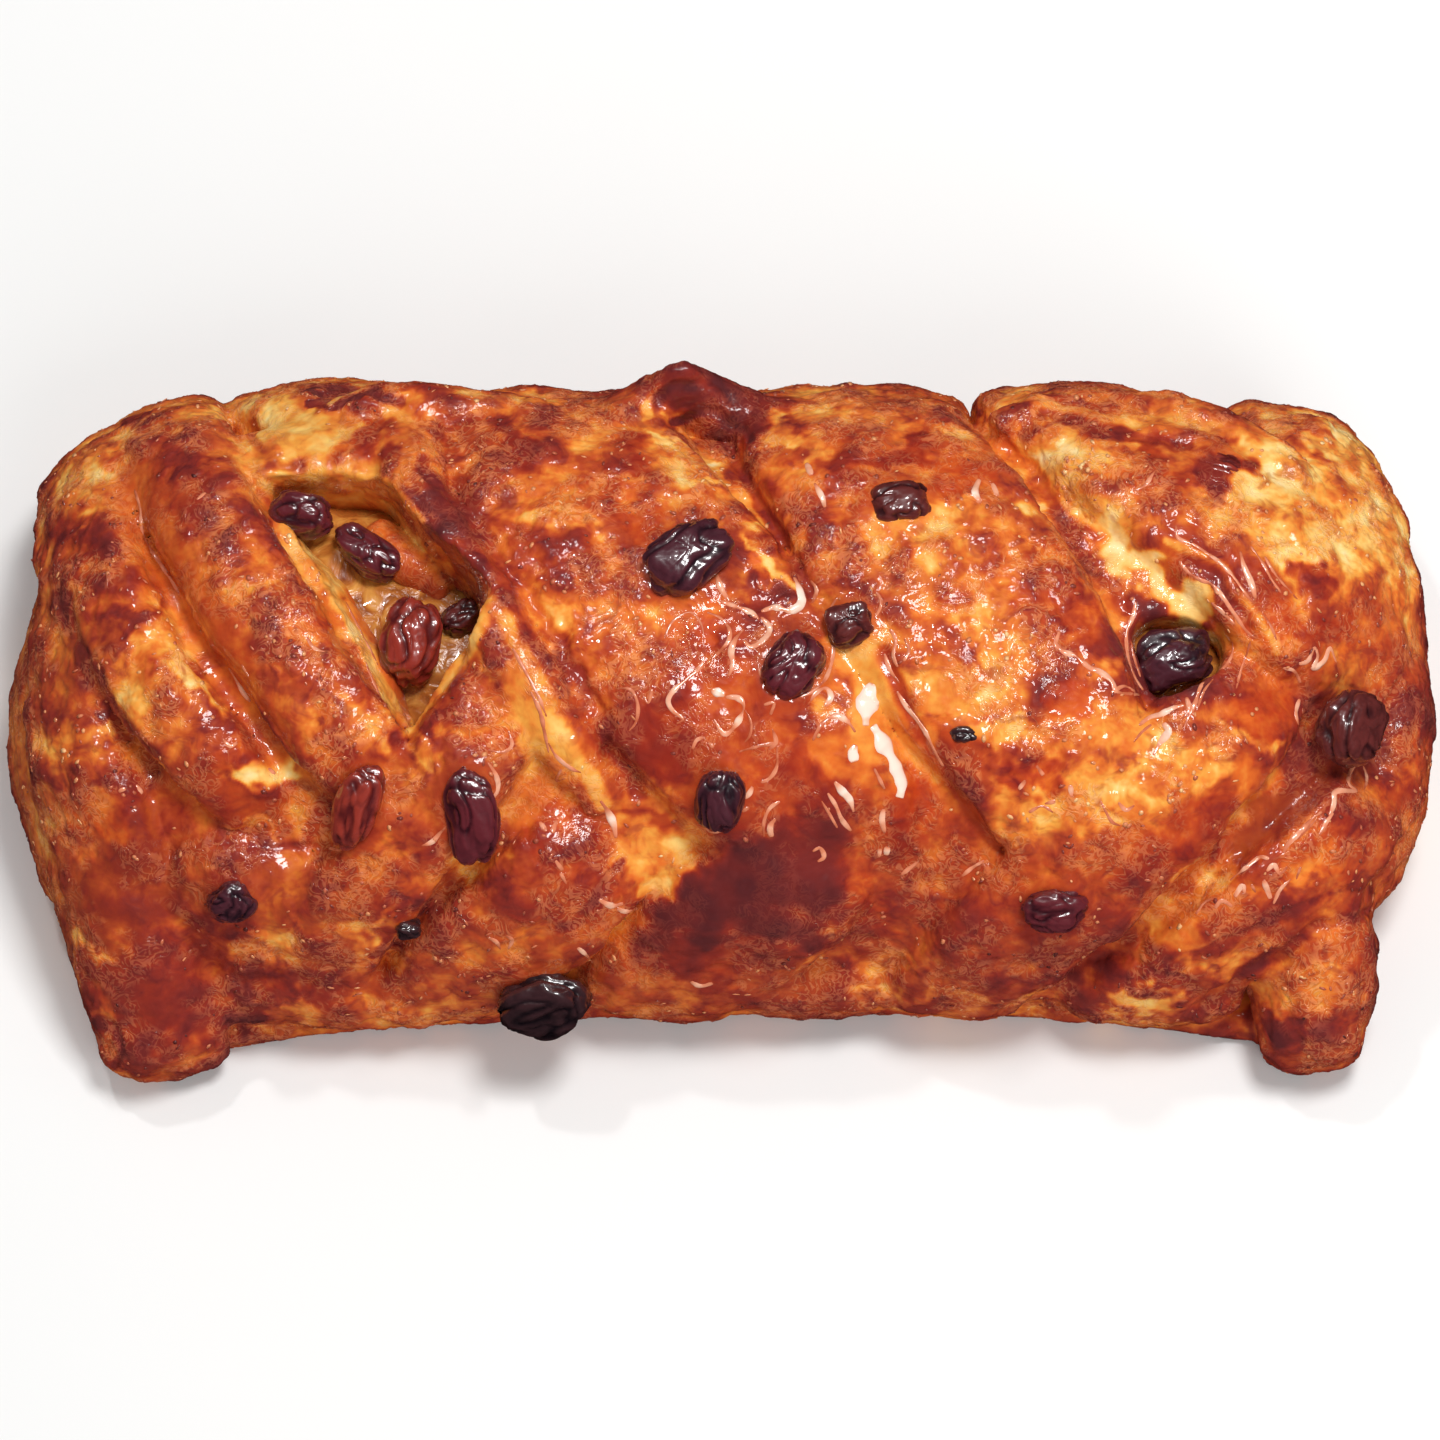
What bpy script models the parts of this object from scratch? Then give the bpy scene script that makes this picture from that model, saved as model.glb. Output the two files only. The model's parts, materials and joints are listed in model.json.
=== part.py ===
"""Glazed plaited danish: a loaf of laminated dough whose cut flaps cross over a fruit filling.

Metres, +Z up, +X along the loaf, -Y the near long side, origin under the middle of the loaf.
"""

import math

import bmesh
import bpy
import numpy as np
from mathutils import Matrix, Vector, noise

MM = 0.001

# Driving dimensions of the baked loaf, without its crossing flaps
LOAF_LENGTH = 132.8 * MM
LOAF_HALF_WIDTH = 29.3 * MM
LOAF_HEIGHT = 30.6 * MM
LOAF_MIDDLE = Vector((0.2 * MM, 1.5 * MM))
SECTION_POWER = 2.35
# How square the loaf is at an end (-1 left, 1 right) in side view, and at a corner (end, side) in plan
END_POWER_HEIGHT = {-1: 4.0, 1: 3.8}
END_POWER_WIDTH = {(-1, -1): 3.8, (-1, 1): 6.4, (1, -1): 4.8, (1, 1): 7.4}
TUCK_DEPTH = 1.6 * MM
TUCK_HEIGHT = 3.5 * MM
HALF_ARC = 50.0 * MM
# Brings the middle of the finished danish over the origin
TO_ORIGIN = Vector((-0.1 * MM, 1.0 * MM, 0.0))

FLAP_THICKNESS = 3.3 * MM
FLAP_SUNK = 2.6 * MM
FLAP_EDGE_POWER = 3.0
FLAP_TIP_POWER = 5.0
BLISTER_HEIGHT = 0.45 * MM
BLISTER_SPACING = 9.0 * MM
NOISE_ORIGIN = Vector((3.1, 7.7, 1.9))

SHEET_THICKNESS = 3.2 * MM
GAP = 0.35 * MM

DOUGH_COLOUR = (0.46, 0.16, 0.04, 1.0)
FILLING_COLOUR = (0.40, 0.14, 0.03, 1.0)
RAISIN_COLOUR = (0.045, 0.012, 0.012, 1.0)

# Each flap is a row of stations: x in mm, share of the way from the crown to the far floor edge
# (negative towards the near one), half width in mm. The last number is how proud it lies, in mm.
FAR_FLAPS = {
    "end_far_left": ([(-61.5, .97, 5.0), (-61.4, .74, 5.2), (-61.0, .45, 5.0), (-59.2, .14, 4.6),
                      (-54.5, -.08, 4.2), (-48.5, -.25, 4.4), (-43.5, -.40, 4.0)], 0.9),
    "first": ([(-55.6, .97, 6.0), (-54.5, .70, 5.8), (-51.6, .38, 5.4), (-47.5, .13, 5.0),
               (-41.3, -.05, 4.8), (-35.6, -.21, 5.0), (-31.5, -.34, 4.8)], 1.3),
    "window_wall": ([(-46.5, .37, 4.6), (-41.0, .40, 5.2), (-34.0, .39, 5.4), (-28.5, .32, 4.6)], 0.2),
    "window_back": ([(-40.5, .97, 9.0), (-39.5, .70, 9.0), (-35.5, .47, 7.0)], 1.4),
    "rope": ([(-31.4, .97, 5.6), (-31.2, .66, 4.8), (-30.6, .46, 3.8), (-29.2, .26, 3.2), (-24.0, .07, 3.0),
              (-18.9, -.08, 3.0), (-14.6, -.22, 2.8), (-10.4, -.36, 2.4)], 0.9),
    "broad_left": ([(-16.5, .97, 12.0), (-16.4, .70, 12.5), (-15.6, .45, 12.4), (-10.5, .17, 12.2),
                    (-3.6, -.02, 12.0), (3.2, -.19, 11.5), (8.4, -.36, 10.5), (12.4, -.52, 8.5)], 0.4),
    "broad_right": ([(13.0, .97, 11.5), (13.0, .70, 11.6), (13.4, .46, 11.6), (18.6, .17, 11.8),
                     (24.2, -.01, 11.4), (29.4, -.17, 10.6), (34.4, -.37, 8.6), (38.0, -.50, 6.0)], 0.8),
    "last": ([(33.5, .97, 9.0), (35.0, .62, 9.2), (41.5, .36, 9.0), (50.5, .18, 8.8),
              (57.5, .04, 7.6), (61.0, -.07, 5.6)], 1.1),
    "rolled_edge": ([(26.5, .46, 1.8), (36.0, .53, 2.4), (46.0, .50, 2.6), (53.5, .36, 2.4),
                     (59.0, .20, 1.8)], 1.8),
    "end_far_right": ([(55.0, .97, 6.5), (57.5, .66, 6.5), (61.0, .36, 5.6), (62.8, .12, 5.2),
                       (63.4, -.12, 4.4)], 0.9),
}
NEAR_FLAPS = {
    "end_near_left": ([(-63.0, .16, 3.6), (-62.8, -.18, 5.4), (-60.2, -.44, 6.4), (-57.6, -.70, 6.6),
                       (-56.4, -.90, 6.0)], 0.2),
    "near_left": ([(-47.0, -.97, 8.0), (-45.5, -.68, 8.4), (-43.0, -.46, 7.6)], 0.0),
    "second": ([(-41.0, -.97, 5.4), (-36.8, -.68, 5.6), (-30.6, -.47, 5.4), (-25.4, -.30, 5.2),
                (-20.4, -.14, 5.0), (-16.2, -.02, 4.4)], 0.2),
    "third": ([(-28.0, -.97, 7.0), (-23.6, -.78, 7.4), (-17.0, -.60, 7.6), (-10.2, -.43, 6.6)], 0.1),
    "middle": ([(-8.0, -.97, 8.6), (-3.4, -.82, 9.0), (3.8, -.60, 9.2), (10.6, -.42, 7.6)], -0.3),
    "fifth": ([(20.5, -.97, 7.0), (27.4, -.71, 7.4), (35.0, -.51, 7.4), (41.8, -.34, 7.0),
               (47.8, -.19, 6.4), (53.0, -.07, 5.0)], 0.3),
    "sixth": ([(37.0, -.97, 6.0), (43.0, -.84, 6.2), (50.6, -.66, 6.2), (58.0, -.48, 6.0),
               (63.2, -.30, 4.6)], 0.9),
}
FLAP_STEPS = 12
FLAP_RING = 12
FLAP_FADE = 0.3

# Outline of the bottom sheet in mm, a little proud of the loaf at the two near corners
SHEET_OUTLINE = [
    (-66.5, 2), (-65.0, -12), (-61.6, -24), (-58.0, -32.0), (-50.0, -32.4), (-38, -30.6), (-20, -29.4),
    (0, -28.8), (22, -28.8), (38, -29.6), (50, -31.0), (60.0, -31.6), (62.6, -22.0), (65.4, -10),
    (66.4, 6), (63, 24), (50, 29.0), (20, 30.0), (-20, 30.0), (-48, 28.6), (-58.6, 24.0), (-63.4, 15),
]
# Rolls of dough outside the loaf: x, y, z of the middle, half width, half height, all in mm
ROLLS = {
    "corner_near_left": [(-58.4, -14, 12.0, 6.8, 8.4), (-56.7, -22, 9.4, 7.2, 9.0),
                         (-54.9, -29.0, 6.4, 6.8, 7.4), (-54.2, -34.0, 4.0, 6.2, 4.6)],
    "corner_near_right": [(57.0, -14, 13.0, 5.6, 7.4), (57.2, -21, 10.0, 6.4, 8.6),
                          (57.8, -28.0, 7.2, 6.4, 7.6), (57.6, -33.8, 4.6, 5.0, 5.4)],
    "end_left": [(-53.6, 25.6, 14.0, 5.4, 9.0), (-58.3, 18.6, 12.4, 5.6, 9.4), (-62.4, 8, 11.0, 5.4, 9.6),
                 (-64.7, -2, 10.0, 5.4, 9.2), (-62.0, -12, 9.0, 5.6, 8.4), (-58.2, -22, 7.6, 5.6, 6.8)],
    "end_right": [(56.6, 25.6, 13.0, 5.4, 9.0), (62.0, 18, 12.4, 5.4, 9.4), (64.3, 7, 11.4, 5.4, 10.0),
                  (64.8, -3, 10.6, 5.2, 9.6), (63.9, -12, 9.4, 4.6, 8.2), (60.0, -19, 8.0, 4.4, 6.6)],
    "near_edge": [(-54, -26.8, 6.0, 3.6, 4.6), (-43, -27.0, 6.4, 3.8, 5.2), (-31, -27.2, 6.2, 4.0, 5.4),
                  (-18, -26.2, 6.2, 3.2, 5.2), (-6, -24.6, 6.0, 3.0, 5.0), (6, -26.4, 6.2, 3.8, 5.2),
                  (18, -26.0, 6.0, 3.4, 5.0), (30, -25.6, 6.0, 2.8, 5.0), (40, -27.0, 6.2, 3.8, 5.0),
                  (50, -27.4, 6.2, 4.0, 4.8)],
    "far_edge": [(-41, 23.6, 21.5, 3.0, 4.0), (-33, 25.2, 22.5, 3.6, 4.8), (-25, 25.4, 22.3, 3.6, 4.6),
                 (-17, 24.6, 21.8, 3.2, 4.2), (-12, 23.4, 21.0, 2.6, 3.4)],
    "charred_peak": [(-10.4, 24.0, 23.4, 2.8, 3.8), (-6.8, 26.4, 21.8, 3.2, 5.4),
                     (-3.8, 28.0, 21.4, 2.6, 7.8), (-0.6, 26.8, 21.6, 3.2, 5.6),
                     (3.4, 25.2, 22.4, 2.8, 3.4)],
}
ROLL_STEPS_EACH = 2
ROLL_RING = 12
ROLL_LUMPS = 0.10
FLOOR_RISE = 0.25 * MM

# Openings between the flaps, in mm, seen from above: the top outline, and where the bottom one shifts
WINDOW_FLOOR = 18.0 * MM
WINDOW_TOP = 44.0 * MM
WINDOWS = {
    "left": ([(-45.8, 17.8), (-41.0, 18.4), (-33.0, 17.2), (-28.4, 11.0), (-21.6, 3.2), (-25.6, -4.6),
              (-30.0, -11.0), (-32.8, -5.6), (-36.8, 2.6), (-41.6, 10.4)], (0.8, 0.80)),
    "right": ([(39.0, 1.6), (43.6, 3.4), (48.6, 1.4), (48.4, -2.4), (44.8, -5.8), (40.6, -5.6)],
              (0.0, 0.80)),
}

# The filling: x, y, z of the middle, half width, half height, all in mm
FILLING_STATIONS = [
    (-48, 9.0, 17.8, 5.0, 3.6), (-45, 8.4, 18.2, 9.8, 6.4), (-36, 5.4, 18.2, 13.4, 8.2),
    (-27, 3.0, 17.8, 13.4, 8.0), (-12, 2.4, 16.8, 11.6, 6.8), (8, 1.4, 16.6, 11.2, 6.6),
    (26, 0.0, 16.9, 11.2, 7.0), (40, -1.0, 17.8, 10.8, 8.2), (49, -1.4, 17.4, 8.4, 6.2),
    (52.5, -1.6, 17.0, 4.4, 3.0),
]
FILLING_RING = 16
FILLING_STEPS = 16

# Raisins: x, share of the arc, half length, half width, half height in mm, turn in degrees,
# how far the middle lies above (or below) the flaps in mm
RAISINS = [
    (-2.9, .070, 4.5, 3.4, 2.7, 38, 1.2),
    (6.9, -.090, 3.6, 2.8, 2.4, 62, 0.3),
    (0.2, -.330, 3.2, 2.4, 2.2, 80, 0.7),
    (-23.3, -.365, 4.9, 2.7, 2.2, 97, 0.2),
    (-33.9, -.350, 4.3, 2.3, 1.9, 72, -0.3),
    (-16.9, -.810, 4.7, 3.8, 2.8, 20, 0.9),
    (58.6, -.180, 3.8, 3.4, 2.6, 75, 0.2),
    (31.6, -.560, 3.1, 2.3, 2.0, 4, 0.4),
    (17.2, .180, 3.1, 2.5, 2.0, 8, 0.3),
    (47.9, .300, 2.9, 2.1, 1.8, -12, 0.0),
    (12.3, -.020, 2.4, 2.2, 1.9, 20, 0.0),
    (-45.8, -.580, 2.3, 2.0, 1.7, 30, 0.2),
]
# Raisins that lie in the openings: x, y, z of the middle, three half sizes in mm, turn, tip
WINDOW_RAISINS = [
    (-40.2, 13.6, 27.6, 3.3, 2.2, 2.0, -14, 0),
    (-33.8, 9.8, 27.4, 3.9, 2.0, 1.9, -40, 0),
    (-29.4, 0.6, 27.8, 4.4, 3.0, 2.6, 80, 8),
    (-24.8, 3.6, 25.9, 2.1, 1.8, 1.7, 30, 0),
    (43.4, -1.3, 27.6, 3.9, 3.1, 2.6, 24, 0),
]
RAISIN_SEGMENTS = 10
RAISIN_RINGS = 7
RAISIN_WRINKLE = 0.16

# Crumbs of fruit too small to be pieces of their own: x, share of the arc, half length, half width
SPECKS = [(23.1, -.21, 1.5, 0.9), (-38.5, -.86, 1.5, 1.2), (-49.8, .21, 1.3, 1.4), (-29.4, -.62, 1.3, 0.9)]
SPECK_HEIGHT = 1.2


def clear_scene():
    for obj in list(bpy.data.objects):
        bpy.data.objects.remove(obj)


def collection(name):
    group = bpy.data.collections.new(name)
    bpy.context.scene.collection.children.link(group)
    return group


def material(name, colour, roughness):
    made = bpy.data.materials.new(name)
    made.use_nodes = True
    shader = made.node_tree.nodes["Principled BSDF"]
    shader.inputs["Base Color"].default_value = colour
    shader.inputs["Roughness"].default_value = roughness
    shader.inputs["Metallic"].default_value = 0.0
    return made


def end_share(x, power):
    """How much of the full section is left at x, from 1 in the middle to 0 at either end."""
    along = min(abs(2 * (x - LOAF_MIDDLE.x) / LOAF_LENGTH), 0.9998)
    return (1 - along ** power) ** (1 / power)


def skin(x, share):
    """Point of the loaf's skin at x, share -1 at the near floor edge, 0 on the crown, 1 at the far one."""
    angle = (1 - share) * math.pi / 2
    across = math.copysign(abs(math.cos(angle)) ** (2 / SECTION_POWER), math.cos(angle))
    up = abs(math.sin(angle)) ** (2 / SECTION_POWER)
    end = 1 if x > LOAF_MIDDLE.x else -1
    side = 1 if across > 0 else -1
    height = LOAF_HEIGHT * end_share(x, END_POWER_HEIGHT[end]) * up
    tuck = TUCK_DEPTH * math.exp(-(height / TUCK_HEIGHT) ** 2)
    half = max(LOAF_HALF_WIDTH * end_share(x, END_POWER_WIDTH[(end, side)]) - tuck, 0.5 * MM)
    return Vector((x, LOAF_MIDDLE.y + half * across, height))


def skin_normal(x, share):
    step = 0.5 * MM
    share = max(-0.985, min(0.985, share))
    along = skin(x + step, share) - skin(x - step, share)
    across = skin(x, share + 0.01) - skin(x, share - 0.01)
    return along.cross(across).normalized()


def blister(point):
    """Slow unevenness of baked dough, about one BLISTER_SPACING from swell to swell."""
    return BLISTER_HEIGHT * noise.noise(point / BLISTER_SPACING + NOISE_ORIGIN)


def loft(name, rings, group):
    """A closed solid through rings of equal point counts, capped at both ends."""
    mesh = bmesh.new()
    rows = [[mesh.verts.new(point) for point in ring] for ring in rings]
    count = len(rows[0])
    for low, high in zip(rows, rows[1:]):
        for i in range(count):
            j = (i + 1) % count
            mesh.faces.new((low[i], low[j], high[j], high[i]))
    mesh.faces.new(rows[0][::-1])
    mesh.faces.new(rows[-1])
    bmesh.ops.triangulate(mesh, faces=mesh.faces)
    bmesh.ops.recalc_face_normals(mesh, faces=mesh.faces)
    data = bpy.data.meshes.new(name)
    mesh.to_mesh(data)
    mesh.free()
    obj = bpy.data.objects.new(name, data)
    group.objects.link(obj)
    return obj


def smooth_row(points, steps, closed=False):
    """Points along a Catmull-Rom curve through the given ones."""
    known = [np.array(p, float) for p in points]
    if closed:
        known = [known[-1], *known, known[0], known[1]]
    else:
        known = [2 * known[0] - known[1], *known, 2 * known[-1] - known[-2]]
    spans = len(known) - 3
    row = []
    for i in range(steps):
        place = spans * i / (steps if closed else steps - 1)
        k = min(int(place), spans - 1)
        t = place - k
        a, b, c, d = known[k:k + 4]
        row.append(0.5 * (2 * b + (c - a) * t + (2 * a - 5 * b + 4 * c - d) * t * t
                          + (3 * b - a - 3 * c + d) * t ** 3))
    return row


def make_loaf(group):
    """The risen dough under the flaps: superelliptic sections on a flat base."""
    rings = []
    for i in range(31):
        x = LOAF_MIDDLE.x + LOAF_LENGTH / 2 * math.sin(math.pi / 2 * (2 * i / 30 - 1))
        ring = []
        for j in range(23):
            point = skin(x, -1 + 2 * j / 22)
            point.z = max(point.z + (blister(point) if 0 < j < 22 else 0), 0)
            ring.append(point)
        rings.append(ring)
    return loft("loaf", rings, group)


def make_flap(name, stations, lift, group, steps=FLAP_STEPS):
    """A puffed strip of dough laid on the loaf's skin, sunk a little into it, that fades out at its tip."""
    row = smooth_row([(x * MM, s * HALF_ARC, w * MM) for x, s, w in stations], steps)
    limit = LOAF_LENGTH / 2 - 2.0 * MM
    rings = []
    for i, (x, arc, half) in enumerate(row):
        before, after = row[max(i - 1, 0)], row[min(i + 1, steps - 1)]
        along = np.array([after[0] - before[0], after[1] - before[1]])
        along /= np.linalg.norm(along)
        side = np.array([-along[1], along[0]])
        place = i / (steps - 1)
        swell = max(1 - abs(2 * place - 1) ** FLAP_TIP_POWER, 0.06) ** (1 / FLAP_TIP_POWER)
        fade = 1 - (max(0.0, place - 1 + FLAP_FADE) / FLAP_FADE) ** 2 * 0.8
        ring = []
        for j in range(FLAP_RING):
            turn = 2 * math.pi * (j + 0.5) / FLAP_RING
            q = math.cos(turn)
            spot = np.array([x, arc]) + side * q * half * (0.55 + 0.45 * swell)
            px = max(-limit, min(limit, spot[0] - LOAF_MIDDLE.x)) + LOAF_MIDDLE.x
            share = max(-0.985, min(0.985, spot[1] / HALF_ARC))
            edge = (1 - abs(q) ** FLAP_EDGE_POWER) ** (1 / FLAP_EDGE_POWER)
            point = skin(px, share)
            if math.sin(turn) > 0:
                rise = (lift * MM + FLAP_THICKNESS * edge * swell) * fade + blister(point * 1.7)
            else:
                rise = -FLAP_SUNK * (0.4 + 0.6 * edge)
            point += skin_normal(px, share) * rise
            point.z = max(point.z, FLOOR_RISE)
            ring.append(point)
        rings.append(ring)
    return loft(name, rings, group)


def make_sheet(group):
    """The bottom sheet of dough, with rounded edges, that the loaf stands on."""
    outline = smooth_row(SHEET_OUTLINE, 44, closed=True)
    rings = []
    for inset, height in ((1.8, 0.0), (0.0, 0.4), (2.6, 1.0)):
        ring = []
        for point in outline:
            x, y = point * (1 - inset / np.linalg.norm(point)) * MM
            ring.append(Vector((x, y, SHEET_THICKNESS * height)))
        rings.append(ring)
    return loft("bottom_sheet", rings, group)


def make_roll(name, stations, group, ring_count, steps, grown=0.0):
    """A lumpy roll along its stations, kept clear of the floor; grown makes the space it needs."""
    row = smooth_row(np.array(stations) * MM, steps)
    rings = []
    for i, (x, y, z, half, tall) in enumerate(row):
        before, after = row[max(i - 1, 0)], row[min(i + 1, steps - 1)]
        along = Vector((after[0] - before[0], after[1] - before[1], 0)).normalized()
        side = Vector((-along.y, along.x, 0))
        end = {0: -1, steps - 1: 1}.get(i, 0)
        ring = []
        shrink = 0.55 if end else 1.0
        for j in range(ring_count):
            turn = 2 * math.pi * j / ring_count
            lump = 1 + ROLL_LUMPS * noise.noise(Vector((x, y, z)) / (7 * MM) + side * math.cos(turn))
            point = Vector((x, y, z)) + along * end * (half * 0.25 + grown)
            point += side * math.cos(turn) * (half * lump * shrink + grown)
            point.z += math.sin(turn) * (tall * lump * shrink + grown)
            point.z = max(point.z, FLOOR_RISE)
            ring.append(point)
        rings.append(ring)
    return loft(name, rings, group)


def make_filling(name, group, grown=0.0):
    """The filling that runs the loaf's length under the openings; grown makes the space it needs."""
    return make_roll(name, FILLING_STATIONS, group, FILLING_RING, FILLING_STEPS, grown)


def make_window(name, outline, shift, shrink, group):
    """A cutter for the opening between flaps, narrower at its foot."""
    middle = np.mean(np.array(outline), axis=0)
    row = smooth_row(outline, 20, closed=True)
    rings = []
    for height, small, offset in ((WINDOW_FLOOR, shrink, shift), (WINDOW_TOP, 1.22 - 0.22 * shrink, 0.0)):
        rings.append([Vector((*((middle + (p - middle) * small + [offset, 0]) * MM), height)) for p in row])
    return loft(name, rings, group)


def raisin_places():
    """Middle, axes and half sizes of every raisin, those on the flaps first."""
    places = []
    for x, share, length, width, height, turn, rise in RAISINS:
        place, normal = skin(x * MM, share), skin_normal(x * MM, share)
        middle = place + normal * (FLAP_THICKNESS + rise * MM)
        places.append((middle, normal, math.radians(turn), (length, width, height)))
    for x, y, z, length, width, height, turn, tip in WINDOW_RAISINS:
        normal = Vector((0, -math.sin(math.radians(tip)), math.cos(math.radians(tip))))
        places.append((Vector((x, y, z)) * MM, normal, math.radians(turn), (length, width, height)))
    return places


def speck_places():
    """The same for the crumbs of fruit, which lie half sunk in the flaps."""
    places = []
    for x, share, length, width in SPECKS:
        normal = skin_normal(x * MM, share)
        middle = skin(x * MM, share) + normal * FLAP_THICKNESS
        places.append((middle, normal, 0.0, (length, width, SPECK_HEIGHT)))
    return places


def make_raisin(name, place, seed, group, grown=0.0):
    """A wrinkled dried grape; grown makes the smooth pocket that it needs."""
    middle, normal, turn, sizes = place
    ahead = Vector((1, 0, 0)) - normal * normal.x
    ahead.normalize()
    aside = normal.cross(ahead)
    axes = (ahead * math.cos(turn) + aside * math.sin(turn),
            aside * math.cos(turn) - ahead * math.sin(turn), normal)
    mesh = bmesh.new()
    bmesh.ops.create_uvsphere(mesh, u_segments=RAISIN_SEGMENTS, v_segments=RAISIN_RINGS, radius=1.0)
    for vert in mesh.verts:
        ball = vert.co.copy()
        wrinkle = 1.0
        if not grown:
            wrinkle -= RAISIN_WRINKLE * abs(noise.noise(ball * 1.9 + Vector((seed, 0, seed))))
        spot = middle.copy()
        for axis, size, along in zip(axes, sizes, ball):
            spot += axis * along * (size * MM * wrinkle + grown)
        vert.co = spot
    bmesh.ops.triangulate(mesh, faces=mesh.faces)
    bmesh.ops.recalc_face_normals(mesh, faces=mesh.faces)
    data = bpy.data.meshes.new(name)
    mesh.to_mesh(data)
    mesh.free()
    obj = bpy.data.objects.new(name, data)
    group.objects.link(obj)
    return obj


def apply_modifiers(obj):
    graph = bpy.context.evaluated_depsgraph_get()
    data = bpy.data.meshes.new_from_object(obj.evaluated_get(graph))
    obj.modifiers.clear()
    obj.data = data


def combine(obj, group, operation):
    """One Boolean of obj with everything in group, whose objects are then removed."""
    boolean = obj.modifiers.new(operation.lower(), "BOOLEAN")
    boolean.operation = operation
    boolean.operand_type = "COLLECTION"
    boolean.collection = group
    boolean.solver = "MANIFOLD"
    apply_modifiers(obj)
    for other in list(group.objects):
        bpy.data.objects.remove(other)


def main():
    clear_scene()
    danish = collection("plaited_danish")
    dough = collection("dough_pieces")
    cutters = collection("cutters")

    pastry = make_loaf(danish)
    pastry.name = "pastry"
    make_sheet(dough)
    for name, (stations, lift) in {**NEAR_FLAPS, **FAR_FLAPS}.items():
        make_flap(name, stations, lift, dough)
    for name, stations in ROLLS.items():
        make_roll(name, stations, dough, ROLL_RING, len(stations) * ROLL_STEPS_EACH)
    for index, place in enumerate(speck_places()):
        make_raisin(f"speck_{index}", place, index, dough)
    combine(pastry, dough, "UNION")

    places = raisin_places()
    for name, (outline, (shift, shrink)) in WINDOWS.items():
        make_window(name, outline, shift, shrink, cutters)
    make_filling("channel", cutters, grown=GAP)
    for index, place in enumerate(places):
        make_raisin(f"pocket_{index}", place, index, cutters, grown=GAP)
    combine(pastry, cutters, "DIFFERENCE")

    filling = make_filling("filling", danish)
    for index, place in enumerate(places[len(RAISINS):]):
        make_raisin(f"pocket_{index}", place, index, cutters, grown=GAP)
    combine(filling, cutters, "DIFFERENCE")

    raisins = [make_raisin(f"raisin_{i + 1:02d}", place, i, danish) for i, place in enumerate(places)]

    pastry.data.materials.append(material("baked_dough", DOUGH_COLOUR, 0.35))
    filling.data.materials.append(material("fruit_filling", FILLING_COLOUR, 0.25))
    dried = material("raisin_skin", RAISIN_COLOUR, 0.3)
    for raisin in raisins:
        raisin.data.materials.append(dried)
    for obj in (pastry, filling, *raisins):
        obj.data.transform(Matrix.Translation(TO_ORIGIN))
        obj.data.shade_smooth()
        obj.data.set_sharp_from_angle(angle=math.radians(50))


main()
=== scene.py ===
"""Looks of the glazed plaited danish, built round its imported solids.

Metres, +Z up, +X along the loaf, -Y the near long side, origin under the middle of the loaf.
"""

import json
import math

import bmesh
import bpy
import numpy as np
from mathutils import Matrix, Vector, noise

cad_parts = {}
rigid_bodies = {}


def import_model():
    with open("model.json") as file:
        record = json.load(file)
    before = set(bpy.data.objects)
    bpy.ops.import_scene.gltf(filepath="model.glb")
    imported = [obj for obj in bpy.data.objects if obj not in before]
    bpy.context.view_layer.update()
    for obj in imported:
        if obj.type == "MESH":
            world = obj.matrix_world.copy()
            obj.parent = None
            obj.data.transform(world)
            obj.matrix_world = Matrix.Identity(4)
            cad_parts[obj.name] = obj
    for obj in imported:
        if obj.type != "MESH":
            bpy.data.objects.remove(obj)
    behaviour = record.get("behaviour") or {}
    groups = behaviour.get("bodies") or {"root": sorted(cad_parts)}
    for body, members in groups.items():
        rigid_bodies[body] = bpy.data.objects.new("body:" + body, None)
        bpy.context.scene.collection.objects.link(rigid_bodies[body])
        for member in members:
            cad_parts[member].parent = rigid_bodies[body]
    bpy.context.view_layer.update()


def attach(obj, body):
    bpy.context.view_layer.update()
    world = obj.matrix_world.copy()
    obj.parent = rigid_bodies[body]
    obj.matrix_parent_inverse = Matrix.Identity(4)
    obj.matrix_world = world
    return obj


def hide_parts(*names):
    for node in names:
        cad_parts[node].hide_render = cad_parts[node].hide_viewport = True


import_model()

MM = 0.001

# Form of the danish, the same as its solids have
LOAF_LENGTH = 132.8 * MM
LOAF_HALF_WIDTH = 29.3 * MM
LOAF_HEIGHT = 30.6 * MM
LOAF_MIDDLE = (0.2 * MM, 1.5 * MM)
SECTION_POWER = 2.35
END_POWER_HEIGHT = {-1: 4.0, 1: 3.8}
END_POWER_WIDTH = {(-1, -1): 3.8, (-1, 1): 6.4, (1, -1): 4.8, (1, 1): 7.4}
TUCK_DEPTH = 1.6 * MM
TUCK_HEIGHT = 3.5 * MM
HALF_ARC = 50.0 * MM
TO_ORIGIN = Vector((-0.1 * MM, 1.0 * MM, 0.0))
SHARE_LIMIT = 0.985

FLAP_THICKNESS = 3.3 * MM
FLAP_SUNK = 2.6 * MM
FLAP_EDGE_POWER = 3.0
FLAP_TIP_POWER = 5.0
FLAP_FADE = 0.3
BLISTER_HEIGHT = 0.45 * MM
BLISTER_SPACING = 9.0 * MM
NOISE_ORIGIN = Vector((3.1, 7.7, 1.9))
SHEET_THICKNESS = 3.2 * MM
FLOOR_RISE = 0.25 * MM
ROLL_LUMPS = 0.10

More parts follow.
